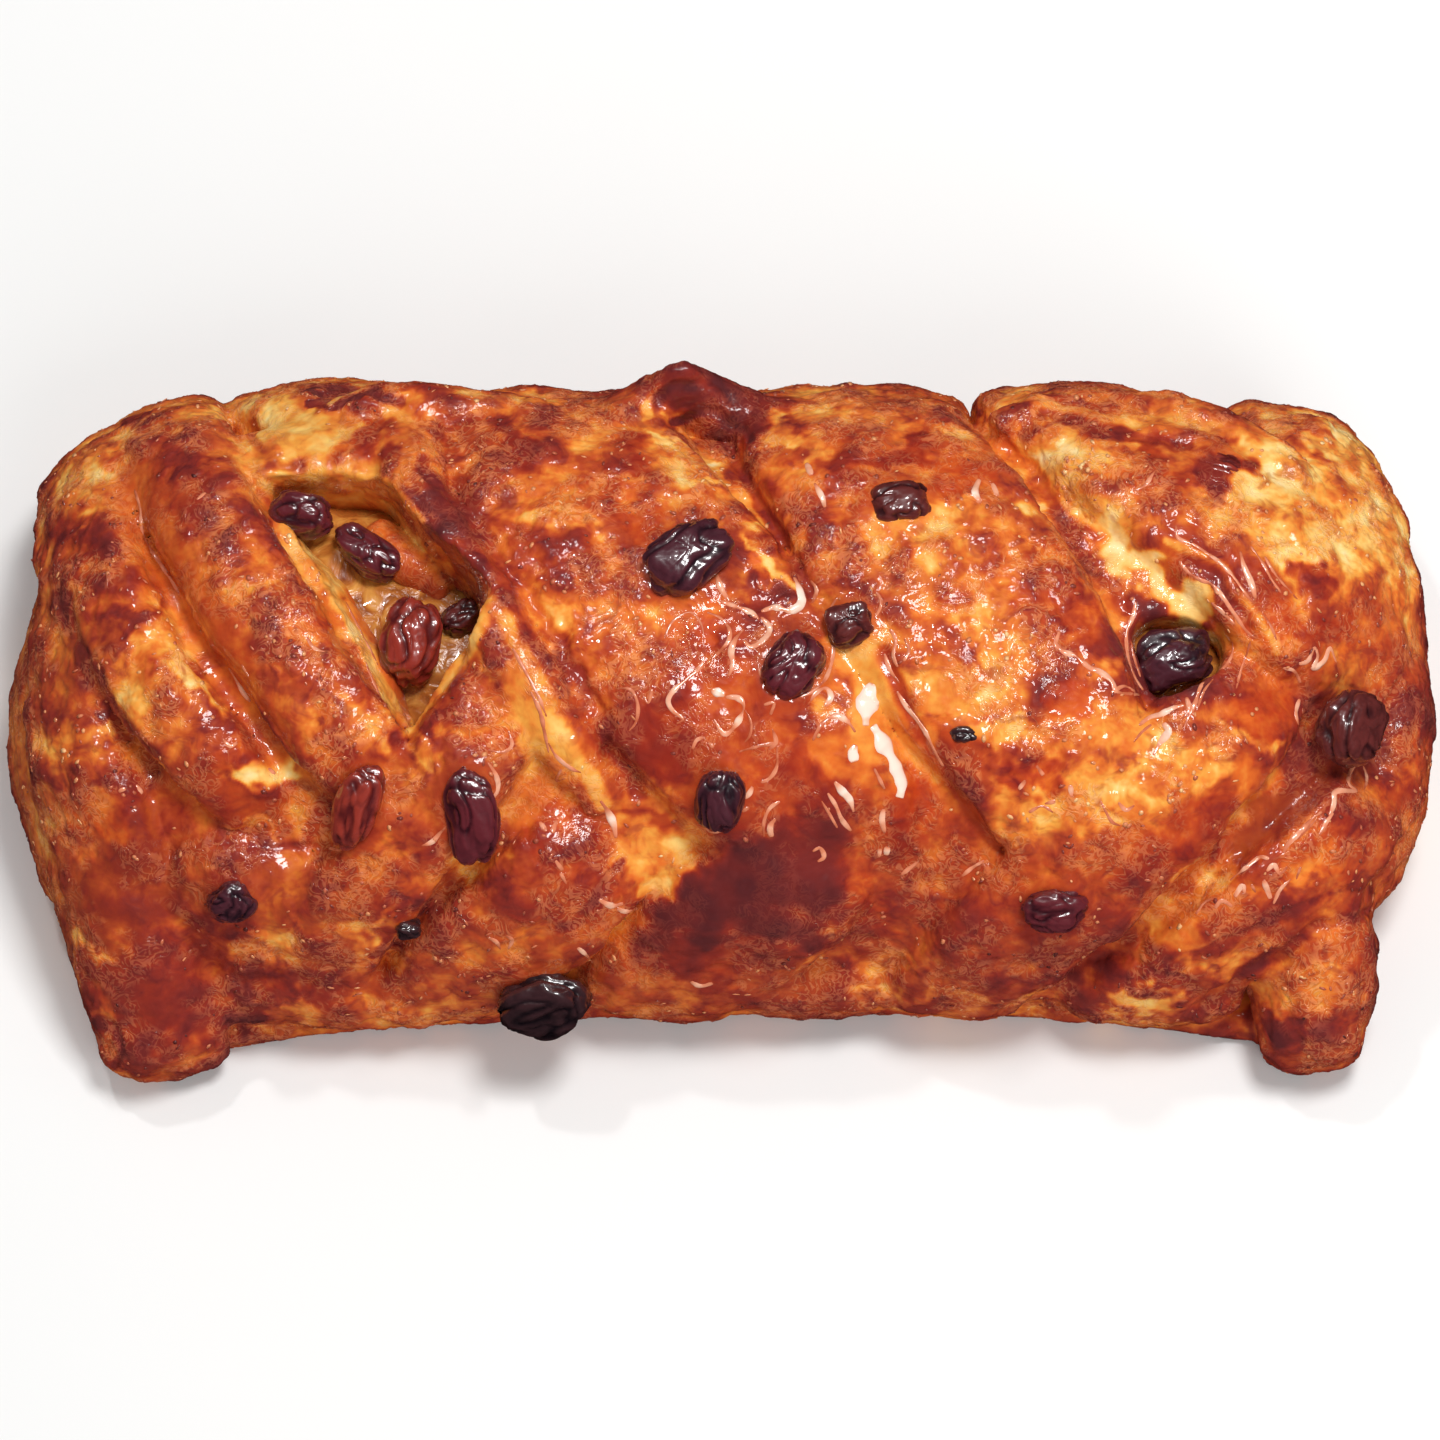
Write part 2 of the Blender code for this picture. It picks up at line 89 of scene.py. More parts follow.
# Flaps: x in mm, share of the way from the crown to the floor, half width in mm; then lift in mm
FLAPS = {
    "end_far_left": ([(-61.5, .97, 5.0), (-61.4, .74, 5.2), (-61.0, .45, 5.0), (-59.2, .14, 4.6),
                      (-54.5, -.08, 4.2), (-48.5, -.25, 4.4), (-43.5, -.40, 4.0)], 0.9),
    "first": ([(-55.6, .97, 6.0), (-54.5, .70, 5.8), (-51.6, .38, 5.4), (-47.5, .13, 5.0),
               (-41.3, -.05, 4.8), (-35.6, -.21, 5.0), (-31.5, -.34, 4.8)], 1.3),
    "window_wall": ([(-46.5, .37, 4.6), (-41.0, .40, 5.2), (-34.0, .39, 5.4), (-28.5, .32, 4.6)], 0.2),
    "window_back": ([(-40.5, .97, 9.0), (-39.5, .70, 9.0), (-35.5, .47, 7.0)], 1.4),
    "rope": ([(-31.4, .97, 5.6), (-31.2, .66, 4.8), (-30.6, .46, 3.8), (-29.2, .26, 3.2), (-24.0, .07, 3.0),
              (-18.9, -.08, 3.0), (-14.6, -.22, 2.8), (-10.4, -.36, 2.4)], 0.9),
    "broad_left": ([(-16.5, .97, 12.0), (-16.4, .70, 12.5), (-15.6, .45, 12.4), (-10.5, .17, 12.2),
                    (-3.6, -.02, 12.0), (3.2, -.19, 11.5), (8.4, -.36, 10.5), (12.4, -.52, 8.5)], 0.4),
    "broad_right": ([(13.0, .97, 11.5), (13.0, .70, 11.6), (13.4, .46, 11.6), (18.6, .17, 11.8),
                     (24.2, -.01, 11.4), (29.4, -.17, 10.6), (34.4, -.37, 8.6), (38.0, -.50, 6.0)], 0.8),
    "last": ([(33.5, .97, 9.0), (35.0, .62, 9.2), (41.5, .36, 9.0), (50.5, .18, 8.8),
              (57.5, .04, 7.6), (61.0, -.07, 5.6)], 1.1),
    "rolled_edge": ([(26.5, .46, 1.8), (36.0, .53, 2.4), (46.0, .50, 2.6), (53.5, .36, 2.4),
                     (59.0, .20, 1.8)], 1.8),
    "end_far_right": ([(55.0, .97, 6.5), (57.5, .66, 6.5), (61.0, .36, 5.6), (62.8, .12, 5.2),
                       (63.4, -.12, 4.4)], 0.9),
    "end_near_left": ([(-63.0, .16, 3.6), (-62.8, -.18, 5.4), (-60.2, -.44, 6.4), (-57.6, -.70, 6.6),
                       (-56.4, -.90, 6.0)], 0.2),
    "near_left": ([(-47.0, -.97, 8.0), (-45.5, -.68, 8.4), (-43.0, -.46, 7.6)], 0.0),
    "second": ([(-41.0, -.97, 5.4), (-36.8, -.68, 5.6), (-30.6, -.47, 5.4), (-25.4, -.30, 5.2),
                (-20.4, -.14, 5.0), (-16.2, -.02, 4.4)], 0.2),
    "third": ([(-28.0, -.97, 7.0), (-23.6, -.78, 7.4), (-17.0, -.60, 7.6), (-10.2, -.43, 6.6)], 0.1),
    "middle": ([(-8.0, -.97, 8.6), (-3.4, -.82, 9.0), (3.8, -.60, 9.2), (10.6, -.42, 7.6)], -0.3),
    "fifth": ([(20.5, -.97, 7.0), (27.4, -.71, 7.4), (35.0, -.51, 7.4), (41.8, -.34, 7.0),
               (47.8, -.19, 6.4), (53.0, -.07, 5.0)], 0.3),
    "sixth": ([(37.0, -.97, 6.0), (43.0, -.84, 6.2), (50.6, -.66, 6.2), (58.0, -.48, 6.0),
               (63.2, -.30, 4.6)], 0.9),
}
SHEET_OUTLINE = [
    (-66.5, 2), (-65.0, -12), (-61.6, -24), (-58.0, -32.0), (-50.0, -32.4), (-38, -30.6), (-20, -29.4),
    (0, -28.8), (22, -28.8), (38, -29.6), (50, -31.0), (60.0, -31.6), (62.6, -22.0), (65.4, -10),
    (66.4, 6), (63, 24), (50, 29.0), (20, 30.0), (-20, 30.0), (-48, 28.6), (-58.6, 24.0), (-63.4, 15),
]
# Edge of the sheet, from below: how far it is drawn in, in mm, and its share of the sheet's thickness
SHEET_EDGE = [(1.8, 0.0), (0.5, 0.12), (0.0, 0.4), (0.6, 0.72), (2.6, 1.0)]
# Rolls of dough outside the loaf: x, y, z of the middle, half width, half height, all in mm
ROLLS = {
    "corner_near_left": [(-58.4, -14, 12.0, 6.8, 8.4), (-56.7, -22, 9.4, 7.2, 9.0),
                         (-54.9, -29.0, 6.4, 6.8, 7.4), (-54.2, -34.0, 4.0, 6.2, 4.6)],
    "corner_near_right": [(57.0, -14, 13.0, 5.6, 7.4), (57.2, -21, 10.0, 6.4, 8.6),
                          (57.8, -28.0, 7.2, 6.4, 7.6), (57.6, -33.8, 4.6, 5.0, 5.4)],
    "end_left": [(-53.6, 25.6, 14.0, 5.4, 9.0), (-58.3, 18.6, 12.4, 5.6, 9.4), (-62.4, 8, 11.0, 5.4, 9.6),
                 (-64.7, -2, 10.0, 5.4, 9.2), (-62.0, -12, 9.0, 5.6, 8.4), (-58.2, -22, 7.6, 5.6, 6.8)],
    "end_right": [(56.6, 25.6, 13.0, 5.4, 9.0), (62.0, 18, 12.4, 5.4, 9.4), (64.3, 7, 11.4, 5.4, 10.0),
                  (64.8, -3, 10.6, 5.2, 9.6), (63.9, -12, 9.4, 4.6, 8.2), (60.0, -19, 8.0, 4.4, 6.6)],
    "near_edge": [(-54, -26.8, 6.0, 3.6, 4.6), (-43, -27.0, 6.4, 3.8, 5.2), (-31, -27.2, 6.2, 4.0, 5.4),
                  (-18, -26.2, 6.2, 3.2, 5.2), (-6, -24.6, 6.0, 3.0, 5.0), (6, -26.4, 6.2, 3.8, 5.2),
                  (18, -26.0, 6.0, 3.4, 5.0), (30, -25.6, 6.0, 2.8, 5.0), (40, -27.0, 6.2, 3.8, 5.0),
                  (50, -27.4, 6.2, 4.0, 4.8)],
    "far_edge": [(-41, 23.6, 21.5, 3.0, 4.0), (-33, 25.2, 22.5, 3.6, 4.8), (-25, 25.4, 22.3, 3.6, 4.6),
                 (-17, 24.6, 21.8, 3.2, 4.2), (-12, 23.4, 21.0, 2.6, 3.4)],
    "charred_peak": [(-10.4, 24.0, 23.4, 2.8, 3.8), (-6.8, 26.4, 21.8, 3.2, 5.4),
                     (-3.8, 28.0, 21.4, 2.6, 7.8), (-0.6, 26.8, 21.6, 3.2, 5.6),
                     (3.4, 25.2, 22.4, 2.8, 3.4)],
}
WINDOW_FLOOR = 18.0 * MM
WINDOW_TOP = 44.0 * MM
WINDOWS = {
    "left": ([(-45.8, 17.8), (-41.0, 18.4), (-33.0, 17.2), (-28.4, 11.0), (-21.6, 3.2), (-25.6, -4.6),
              (-30.0, -11.0), (-32.8, -5.6), (-36.8, 2.6), (-41.6, 10.4)], (0.8, 0.80)),
    "right": ([(39.0, 1.6), (43.6, 3.4), (48.6, 1.4), (48.4, -2.4), (44.8, -5.8), (40.6, -5.6)],
              (0.0, 0.80)),
}
FILLING_STATIONS = [
    (-48, 9.0, 17.8, 5.0, 3.6), (-45, 8.4, 18.2, 9.8, 6.4), (-36, 5.4, 18.2, 13.4, 8.2),
    (-27, 3.0, 17.8, 13.4, 8.0), (-12, 2.4, 16.8, 11.6, 6.8), (8, 1.4, 16.6, 11.2, 6.6),
    (26, 0.0, 16.9, 11.2, 7.0), (40, -1.0, 17.8, 10.8, 8.2), (49, -1.4, 17.4, 8.4, 6.2),
    (52.5, -1.6, 17.0, 4.4, 3.0),
]
# Raisins: x, share of the arc, half length, half width, half height in mm, turn, rise in mm, finish
RAISINS = [
    (-2.9, .070, 4.5, 3.4, 2.7, 38, 1.2, "dark"),
    (6.9, -.090, 3.6, 2.8, 2.4, 62, 0.3, "plum"),
    (0.2, -.330, 3.2, 2.4, 2.2, 80, 0.7, "dark"),
    (-23.3, -.365, 4.9, 2.7, 2.2, 97, 0.2, "plum"),
    (-33.9, -.350, 4.3, 2.3, 1.9, 72, -0.3, "red"),
    (-16.9, -.810, 4.7, 3.8, 2.8, 20, 0.9, "black"),
    (58.6, -.180, 3.8, 3.4, 2.6, 75, 0.2, "brown"),
    (31.6, -.560, 3.1, 2.3, 2.0, 4, 0.4, "plum"),
    (17.2, .180, 3.1, 2.5, 2.0, 8, 0.3, "brown"),
    (47.9, .300, 2.9, 2.1, 1.8, -12, 0.0, "red"),
    (12.3, -.020, 2.4, 2.2, 1.9, 20, 0.0, "brown"),
    (-45.8, -.580, 2.3, 2.0, 1.7, 30, 0.2, "dark"),
]
# Raisins in the openings: x, y, z, three half sizes in mm, turn, tip, finish
WINDOW_RAISINS = [
    (-40.2, 13.6, 27.6, 3.3, 2.2, 2.0, -14, 0, "plum"),
    (-33.8, 9.8, 27.4, 3.9, 2.0, 1.9, -40, 0, "plum"),
    (-29.4, 0.6, 27.8, 4.4, 3.0, 2.6, 80, 8, "red"),
    (-24.8, 3.6, 25.9, 2.1, 1.8, 1.7, 30, 0, "brown"),
    (43.4, -1.3, 27.6, 3.9, 3.1, 2.6, 24, 0, "dark"),
]
# Crumbs of fruit stuck in the crust: x, share of the arc, half length, half width in mm
SPECKS = [(23.1, -.21, 1.5, 0.9), (-38.5, -.86, 1.5, 1.2), (-49.8, .21, 1.3, 1.4), (-29.4, -.62, 1.3, .9)]
SPECK_HEIGHT = 1.2
# Dough inside the left opening: x, y, z of the middle, half width, half height in mm
INNER_ROLLS = {
    "flank": [(-43.4, 12.0, 22.6, 2.6, 4.4), (-38.6, 4.8, 23.4, 3.8, 5.2), (-34.0, -2.6, 23.4, 3.4, 5.0),
              (-30.6, -8.4, 23.4, 1.8, 4.2)],
    "tongue": [(-33.4, 13.4, 23.6, 1.8, 3.2), (-29.6, 8.8, 24.6, 2.2, 3.6), (-26.4, 6.4, 23.6, 1.6, 2.6)],
}

# The plan: the danish seen on a slant from above its near side, on a square counted from its far left
# corner in steps of about a tenth of a mm. Marks, folds and threads are placed on it, across, then down.
PLAN_SLANT = math.radians(70.0)
PLAN_REACH = 0.560
PLAN_TARGET = np.array([0.0001, -0.0025, 0.014])
PLAN_MIDDLE = 720.0
LENS_MM = 143.2
SENSOR_MM = 36.0

# Marks of the bake, with a few spots of painted shade and painted highlight among them: across, down, half
# length, half height, turn, tone (0 pale, 1 charred), hue (-1 olive, 1 red), glaze (0 dry and flaky, 1
# smooth and wet)
MARKS = [
    # Large areas first
    (150, 480, 120, 90, 0, .52, .0, .2), (330, 430, 110, 40, 0, .42, .0, .4),
    (520, 440, 110, 60, 0, .55, .2, .2), (620, 620, 90, 110, 0, .56, .3, .2),
    (170, 920, 120, 150, 0, .68, .1, .5), (420, 900, 170, 110, 0, .60, .2, .4),
    (720, 760, 150, 90, 0, .60, .5, .8), (900, 460, 130, 60, 0, .52, .4, .4),
    (980, 600, 90, 110, 0, .42, .1, .3), (1150, 470, 120, 70, 0, .44, .1, .2),
    (1330, 500, 110, 110, 0, .33, .0, .1), (1340, 640, 90, 60, 0, .50, .3, .4),
    (1130, 770, 150, 70, 0, .42, .1, .2), (1080, 920, 260, 80, 0, .62, .3, .5),
    (1330, 880, 110, 110, 0, .60, .3, .4), (900, 960, 300, 70, 0, .66, .2, .5),
    (620, 960, 80, 60, 0, .56, .4, .7), (60, 700, 60, 160, 0, .54, .0, .3),
    # Left end
    (125, 410, 34, 13, 15, .80, .1, .2), (105, 455, 40, 36, 0, .30, .1, .1),
    (170, 470, 52, 46, -25, .70, .3, .1), (62, 500, 20, 30, 0, .38, .1, .1),
    (90, 550, 32, 36, 0, .76, .4, .1), (46, 590, 12, 40, -80, .46, .2, .3),
    (128, 618, 30, 14, 0, .80, .2, .1), (150, 590, 26, 20, 0, .45, .3, .3),
    (200, 652, 54, 28, -25, .24, .0, .2), (232, 692, 34, 18, -40, .14, .0, .4),
    (150, 700, 48, 26, 0, .36, .1, .1), (225, 598, 20, 36, -30, .36, .1, .1),
    (252, 545, 34, 32, 0, .64, .3, .0), (272, 600, 36, 34, 0, .60, .2, .0),
    (316, 622, 28, 24, 0, .46, .7, .3), (300, 662, 44, 24, 0, .58, .3, .0),
    (330, 718, 60, 26, 0, .40, .2, .0), (365, 738, 36, 14, 0, .26, .1, .2),
    (268, 765, 24, 17, 0, .08, -.2, .3), (232, 750, 16, 14, 0, .50, .6, .2),
    (120, 725, 34, 20, 0, .28, .0, .1), (60, 745, 26, 26, 0, .34, .1, .1),
    # The small dark spot at 95, 708 is painted shade in a hole of the crease
    (85, 660, 22, 44, -60, .62, -.7, .3), (95, 708, 12, 10, 0, .92, .0, .0),
    (235, 806, 60, 18, -6, .60, .5, .8), (262, 833, 44, 7, -4, .40, .3, .7),
    (100, 822, 40, 26, 0, .50, .7, .7), (150, 836, 22, 34, 0, .64, -.7, .6),
    (120, 895, 50, 50, 0, .68, -.6, .8), (250, 868, 54, 20, 0, .60, -.2, .7),
    (300, 906, 46, 34, 0, .58, -.4, .6), (232, 882, 24, 18, 0, .80, .2, .0),
    (270, 950, 46, 18, 0, .48, .3, .0), (80, 960, 12, 40, -60, .40, .1, .2),
    (160, 1005, 52, 44, 0, .86, .3, .6), (150, 1062, 46, 12, 0, .60, .2, .3),
    (248, 1020, 14, 30, 0, .86, .2, .2), (300, 1012, 30, 16, 0, .38, .0, .1),
    (410, 1012, 60, 9, 0, .46, .1, .2), (340, 850, 30, 10, 0, .62, .3, .3),
    (342, 812, 24, 30, 0, .72, .5, .3), (215, 930, 26, 20, 0, .78, .3, .2),
    # Behind and beside the left opening
    (272, 420, 26, 20, 20, .16, -.2, .4), (305, 440, 46, 28, 0, .22, -.2, .8),
    (368, 428, 18, 34, 10, .66, .6, .4), (412, 452, 24, 40, 20, .34, .0, .5),
    (355, 392, 46, 7, 0, .88, .1, .4), (400, 385, 40, 10, 0, .60, .3, .3),
    (468, 445, 38, 40, 0, .62, .3, .0), (520, 398, 66, 12, 0, .40, .1, .1),
    (522, 450, 32, 14, -30, .80, .7, .4), (590, 430, 26, 22, 0, .48, .3, .1),
    (634, 452, 26, 15, 0, .66, .9, .5), (664, 430, 26, 8, -25, .20, .0, .4),
    (556, 522, 32, 18, 0, .28, .1, .2), (640, 492, 34, 14, 0, .42, .5, .5),
    (644, 520, 22, 18, 0, .50, 1., .9), (700, 482, 26, 10, 0, .14, .0, .5),
    (505, 500, 26, 22, 0, .62, .3, .0), (462, 560, 36, 22, -55, .60, .2, .1),
    (700, 395, 44, 22, -20, .88, .2, .3), (722, 428, 30, 22, 0, .80, .5, .3),
    (668, 378, 20, 10, 20, .90, .0, .2), (560, 640, 24, 60, 20, .50, .3, .1),
    (470, 720, 26, 16, 0, .46, .3, .2), (484, 735, 20, 18, 0, .62, .9, .4),
    # Middle
    (532, 725, 24, 70, 20, .32, .0, .9), (566, 735, 16, 40, 25, .42, .2, .8),
    (540, 800, 36, 26, 0, .46, .4, .8), (652, 752, 50, 32, 0, .74, .6, .9),
    (600, 700, 34, 30, 0, .60, .4, .4), (562, 826, 40, 18, 0, .60, .9, .7),
    (655, 850, 40, 28, 0, .28, .0, .5), (650, 880, 30, 14, 0, .36, .1, .2),
    (640, 800, 40, 14, 0, .44, .2, .5), (700, 620, 30, 26, 0, .46, .9, .7),
    (720, 630, 14, 13, 0, .52, 1., 1.), (680, 660, 26, 30, 0, .62, .6, .4),
    (762, 570, 16, 16, 0, .46, 1., .9), (755, 597, 18, 10, 0, .84, .5, .3),
    (735, 690, 26, 20, 0, .54, .7, .9), (690, 700, 24, 26, 0, .64, .8, .9),
    (760, 770, 24, 16, 0, .62, .7, .8), (820, 750, 36, 26, 0, .46, .4, .8),
    (850, 664, 30, 22, 0, .42, .5, 1.), (858, 700, 22, 16, 0, .34, .1, 1.),
    (870, 748, 7, 9, 0, .58, 1., 1.), (915, 745, 16, 60, 20, .50, .8, 1.),
    (905, 800, 20, 24, 0, .54, 1., 1.), (888, 838, 24, 16, 0, .66, 1., .9),
    (790, 826, 32, 22, 0, .80, .5, .5), (830, 830, 22, 14, 0, .62, -.3, .3),
    (800, 770, 20, 26, 0, .64, .8, .7), (765, 905, 96, 52, 12, .97, .1, .6),
    (700, 925, 60, 30, 10, .88, .3, .6), (820, 905, 40, 24, 0, .84, .3, .4),
    (870, 915, 30, 34, 0, .70, .5, .5), (850, 960, 70, 16, 0, .58, .1, .1),
    (800, 860, 30, 16, 0, .90, -.1, .4), (700, 962, 60, 26, 0, .74, .5, .7),
    (615, 900, 34, 14, 0, .58, .6, .3), (480, 862, 34, 12, 0, .38, .2, .1),
    (372, 930, 26, 7, 20, .44, .4, .5), (376, 962, 28, 7, 0, .46, .4, .5),
    (350, 948, 7, 20, 0, .48, .4, .5), (400, 946, 7, 20, 0, .48, .4, .5),
    (378, 948, 16, 11, 0, .84, .5, .6), (405, 906, 16, 9, 0, .86, -.2, .2),
    # Upper right
    (752, 470, 22, 14, 0, .58, .2, .1), (790, 442, 30, 14, 0, .34, .0, .1),
    (840, 464, 30, 30, 0, .62, .6, .3), (762, 545, 12, 30, 25, .16, -.1, .8),
    (782, 583, 12, 22, 25, .14, -.1, .8), (813, 490, 12, 30, 10, .44, .3, .5),
    (890, 458, 36, 11, 0, .72, 1., .8), (950, 470, 34, 20, -10, .56, 1., .9),
    # The pale spot at 962, 505 is a painted highlight
    (962, 505, 18, 12, 0, .30, .4, .7), (905, 545, 66, 20, 0, .34, .1, .1),
    (860, 560, 34, 30, 0, .58, .4, .1), (930, 520, 40, 10, 0, .24, .1, .2),
    (1000, 412, 40, 10, -10, .70, .2, .2), (1062, 412, 34, 12, -10, .74, .4, .3),
    (1130, 432, 60, 12, -8, .66, 1., .8), (1060, 462, 50, 22, 0, .24, .0, .0),
    (1092, 512, 34, 26, -30, .20, .0, .2), (1150, 482, 30, 16, 0, .50, .7, .3),
    (1205, 485, 40, 12, 0, .48, .3, .1), (1290, 420, 60, 16, -25, .50, .4, .1),
    (1335, 430, 50, 16, -40, .18, .0, .2), (1275, 486, 40, 24, -20, .16, -.1, .2),
    (1250, 520, 40, 20, 0, .34, .1, .1), (1320, 545, 50, 24, 0, .28, .0, .0),
    (1395, 545, 24, 50, 0, .22, .0, .1), (1070, 560, 34, 32, 0, .62, .5, .1),
    (1010, 560, 34, 30, 0, .50, .4, .1), (1045, 600, 20, 40, 0, .54, .6, .2),
    (1080, 610, 24, 30, 0, .62, .6, .2), (985, 650, 46, 40, 0, .34, .1, .1),
    (950, 690, 34, 24, 0, .40, .2, .7), (925, 615, 34, 20, 0, .50, .4, .1),
    (930, 645, 20, 16, 0, .62, .6, .2),
    # Right opening and end
    (1135, 560, 46, 17, -48, .12, .1, .9), (1180, 598, 40, 10, -22, .20, .1, .9),
    (1118, 600, 18, 26, 0, .38, .4, .9), (1190, 555, 34, 18, -30, .60, .6, .9),
    (1240, 585, 30, 30, -40, .60, .7, .8), (1310, 575, 26, 14, 0, .70, .6, .3),
    (1275, 625, 34, 20, 0, .52, .9, .8), (1325, 640, 24, 16, 0, .56, .9, .6),
    (1072, 700, 20, 26, 0, .52, 1., .8), (1082, 640, 20, 18, 0, .60, .6, .3),
    (1100, 740, 50, 14, 0, .38, .2, .4), (1245, 655, 24, 30, 0, .42, .4, .8),
    (1262, 712, 34, 26, 0, .50, .8, .8), (1180, 770, 60, 18, 10, .26, .1, .1),
    (1262, 742, 36, 10, 0, .26, .0, .1), (1030, 772, 26, 22, 0, .72, .8, .2),
    (1000, 730, 26, 16, 0, .26, .0, .1), (1090, 790, 36, 20, 0, .32, .1, .1),
    (1040, 812, 30, 8, 0, .36, .2, .1), (1095, 830, 22, 12, 0, .38, .3, .5),
    (1200, 812, 60, 20, 14, .60, .7, .8), (1170, 850, 60, 24, 14, .62, .7, .7),
    (1280, 815, 50, 20, 40, .64, -.7, .9), (1250, 780, 40, 14, 20, .46, .6, .8),
    (1330, 720, 50, 46, 0, .66, .2, .3), (1390, 760, 22, 40, 0, .62, .4, .2),
    (1370, 660, 34, 24, 0, .50, .5, .3), (1310, 860, 60, 24, 35, .54, .6, .2),
    (1210, 890, 56, 16, 35, .40, .3, .2), (1175, 930, 30, 40, 20, .38, .3, .6),
    (1300, 925, 80, 16, 8, .64, .5, .6), (1055, 925, 26, 18, 0, .74, .7, .4),
    (1110, 968, 60, 12, -6, .74, .2, .3), (1155, 1002, 38, 15, 0, .20, .0, .8),
    (1222, 945, 22, 11, 10, .76, .3, .3), (1250, 965, 50, 12, 20, .50, .2, .1),
    (1325, 990, 34, 34, 0, .40, .1, .1), (1282, 1030, 28, 20, -30, .92, .2, .5),
    (1365, 980, 14, 60, 10, .62, .5, .3), (1320, 1062, 34, 9, 0, .66, .5, .3),
    (1130, 1022, 50, 7, 0, .36, .1, .2), (960, 1000, 120, 8, 0, .50, .1, .1),
    # The dark marks at 1352, 736 and 1300, 765 are painted shade in the pocket round a raisin
    (1216, 466, 36, 25, 5, .84, .6, .35), (1352, 736, 46, 44, 0, .88, -.3, .6),
    (1300, 765, 26, 20, 0, .80, -.3, .4), (1186, 604, 36, 9, -30, .22, .2, .9),
    (1148, 575, 26, 13, -50, .06, .1, .9), (742, 893, 92, 38, 20, .97, .1, .95),
    (812, 852, 46, 34, 0, .88, .2, .9), (868, 696, 34, 66, 8, .26, .1, 1.),
    (905, 745, 22, 50, 20, .36, .2, 1.), (470, 505, 34, 22, -40, .74, .5, .5),
    (1160, 585, 66, 18, -46, .10, .1, .8), (300, 452, 34, 18, 0, .30, -.1, .8),
    (360, 448, 22, 26, 0, .60, .5, .6), (142, 622, 22, 15, 0, .76, .2, .2),
    (182, 535, 18, 30, -20, .68, .5, .4), (225, 412, 40, 13, 10, .36, .1, .2),
    (935, 420, 48, 13, 0, .42, .2, .1), (826, 416, 42, 13, 0, .40, .1, .1),
    (778, 536, 20, 18, 0, .42, .3, .2), (622, 498, 24, 18, 0, .60, .7, .3),
    (1062, 492, 30, 18, -30, .20, .0, .2), (578, 740, 13, 30, 20, .58, .5, .7),
    (420, 742, 20, 13, 0, .36, .0, .3), (503, 664, 13, 24, 25, .30, .0, .5),
    (602, 622, 36, 28, 0, .58, .5, .2), (150, 985, 70, 46, 0, .78, .1, .6),
    (940, 636, 26, 34, 0, .58, .5, .3), (1100, 668, 22, 20, 0, .42, .2, .4),
    (1065, 985, 40, 15, 0, .58, .3, .3), (695, 425, 20, 13, 0, .64, .3, .3),
]
# Folds: half width in tenths of a mm, lift in mm, tone, hue, glaze, then the places it runs through. Their
# tone is
# partly painted light: sunk creases mostly darkened as painted shade, raised rims mostly paled as painted
# highlight
FOLDS_WITH_PAINTED_LIGHT = [
    (24, -.60, .52, .5, 1., (135, 480), (150, 530), (185, 590), (225, 655), (275, 745)),
    (8, -.60, .72, -.5, .4, (60, 596), (75, 640), (98, 690), (125, 730), (155, 768)),
    (5, .25, .50, -.5, .5, (78, 606), (92, 650), (112, 690)),
    (7, -.70, .72, .3, .3, (425, 463), (470, 520), (508, 568), (558, 640), (600, 720), (640, 792)),
    # A painted highlight line along a raised edge
    (9, .40, .30, .0, .6, (505, 612), (520, 650), (545, 705), (575, 760), (605, 800)),
    (6, -.70, .68, .2, .4, (725, 443), (748, 480), (768, 516), (808, 592)),
    (7, -.60, .62, .8, .9, (880, 650), (905, 705), (945, 775), (975, 820), (1000, 850)),
    (7, -.50, .62, .3, .4, (960, 415), (1008, 449), (1050, 500), (1090, 560), (1130, 610)),
    # Rims of the left opening: raised lips with a painted highlight
    (6, .35, .26, .0, .6, (262, 482), (298, 545), (342, 610), (382, 688), (408, 732)),
    (8, .35, .20, .0, .5, (408, 730), (450, 672), (494, 600)),
    (5, .30, .34, -.2, .5, (258, 474), (320, 470), (388, 480), (420, 520)),
    (5, -.50, .90, .0, .3, (310, 394), (350, 388), (402, 400)),
    (6, -.40, .60, -.4, .6, (250, 424), (262, 452), (300, 466)),
    # A painted shadow line under a bulge, on a shallow sunk crease
    (4, -.30, .70, .3, .4, (208, 842), (280, 846), (332, 850)),
    (6, -.60, .78, .2, .3, (1372, 912), (1305, 934), (1245, 975), (1205, 1010)),
    (5, .35, .56, .5, .5, (1196, 916), (1245, 880), (1300, 830), (1350, 775)),
    (12, -.50, .64, -.6, .9, (1240, 850), (1290, 808), (1320, 780)),
    (5, -.30, .70, .3, .3, (1195, 955), (1260, 926), (1335, 890)),
    (5, .35, .46, .3, .3, (1035, 402), (1110, 418), (1190, 432), (1240, 460)),
    (5, -.35, .76, .3, .3, (1040, 412), (1110, 430), (1185, 446)),
    # Painted highlight lines along the raised edge beside the right opening
    (5, .30, .34, .1, .4, (1170, 540), (1210, 560), (1255, 610), (1275, 650)),
    (5, -.35, .66, .5, .5, (1185, 560), (1225, 590), (1250, 635)),
    (6, .40, .84, .2, .3, (640, 392), (665, 372), (684, 362)),
    (6, -.50, .95, .0, .2, (655, 400), (690, 384), (735, 396)),
    (6, .40, .80, .3, .3, (684, 362), (712, 392), (755, 414)),
    (5, -.40, .90, .1, .2, (676, 420), (712, 412), (748, 436)),
    (5, -.40, .84, .3, .2, (100, 1020), (118, 1046), (112, 1066)),
    (5, -.35, .72, .2, .3, (620, 862), (590, 905), (560, 930)),
    (6, .30, .50, .4, .8, (600, 930), (625, 968), (612, 1006)),
    (5, -.35, .74, .3, .2, (1060, 962), (1120, 956), (1172, 978), (1200, 992)),
]
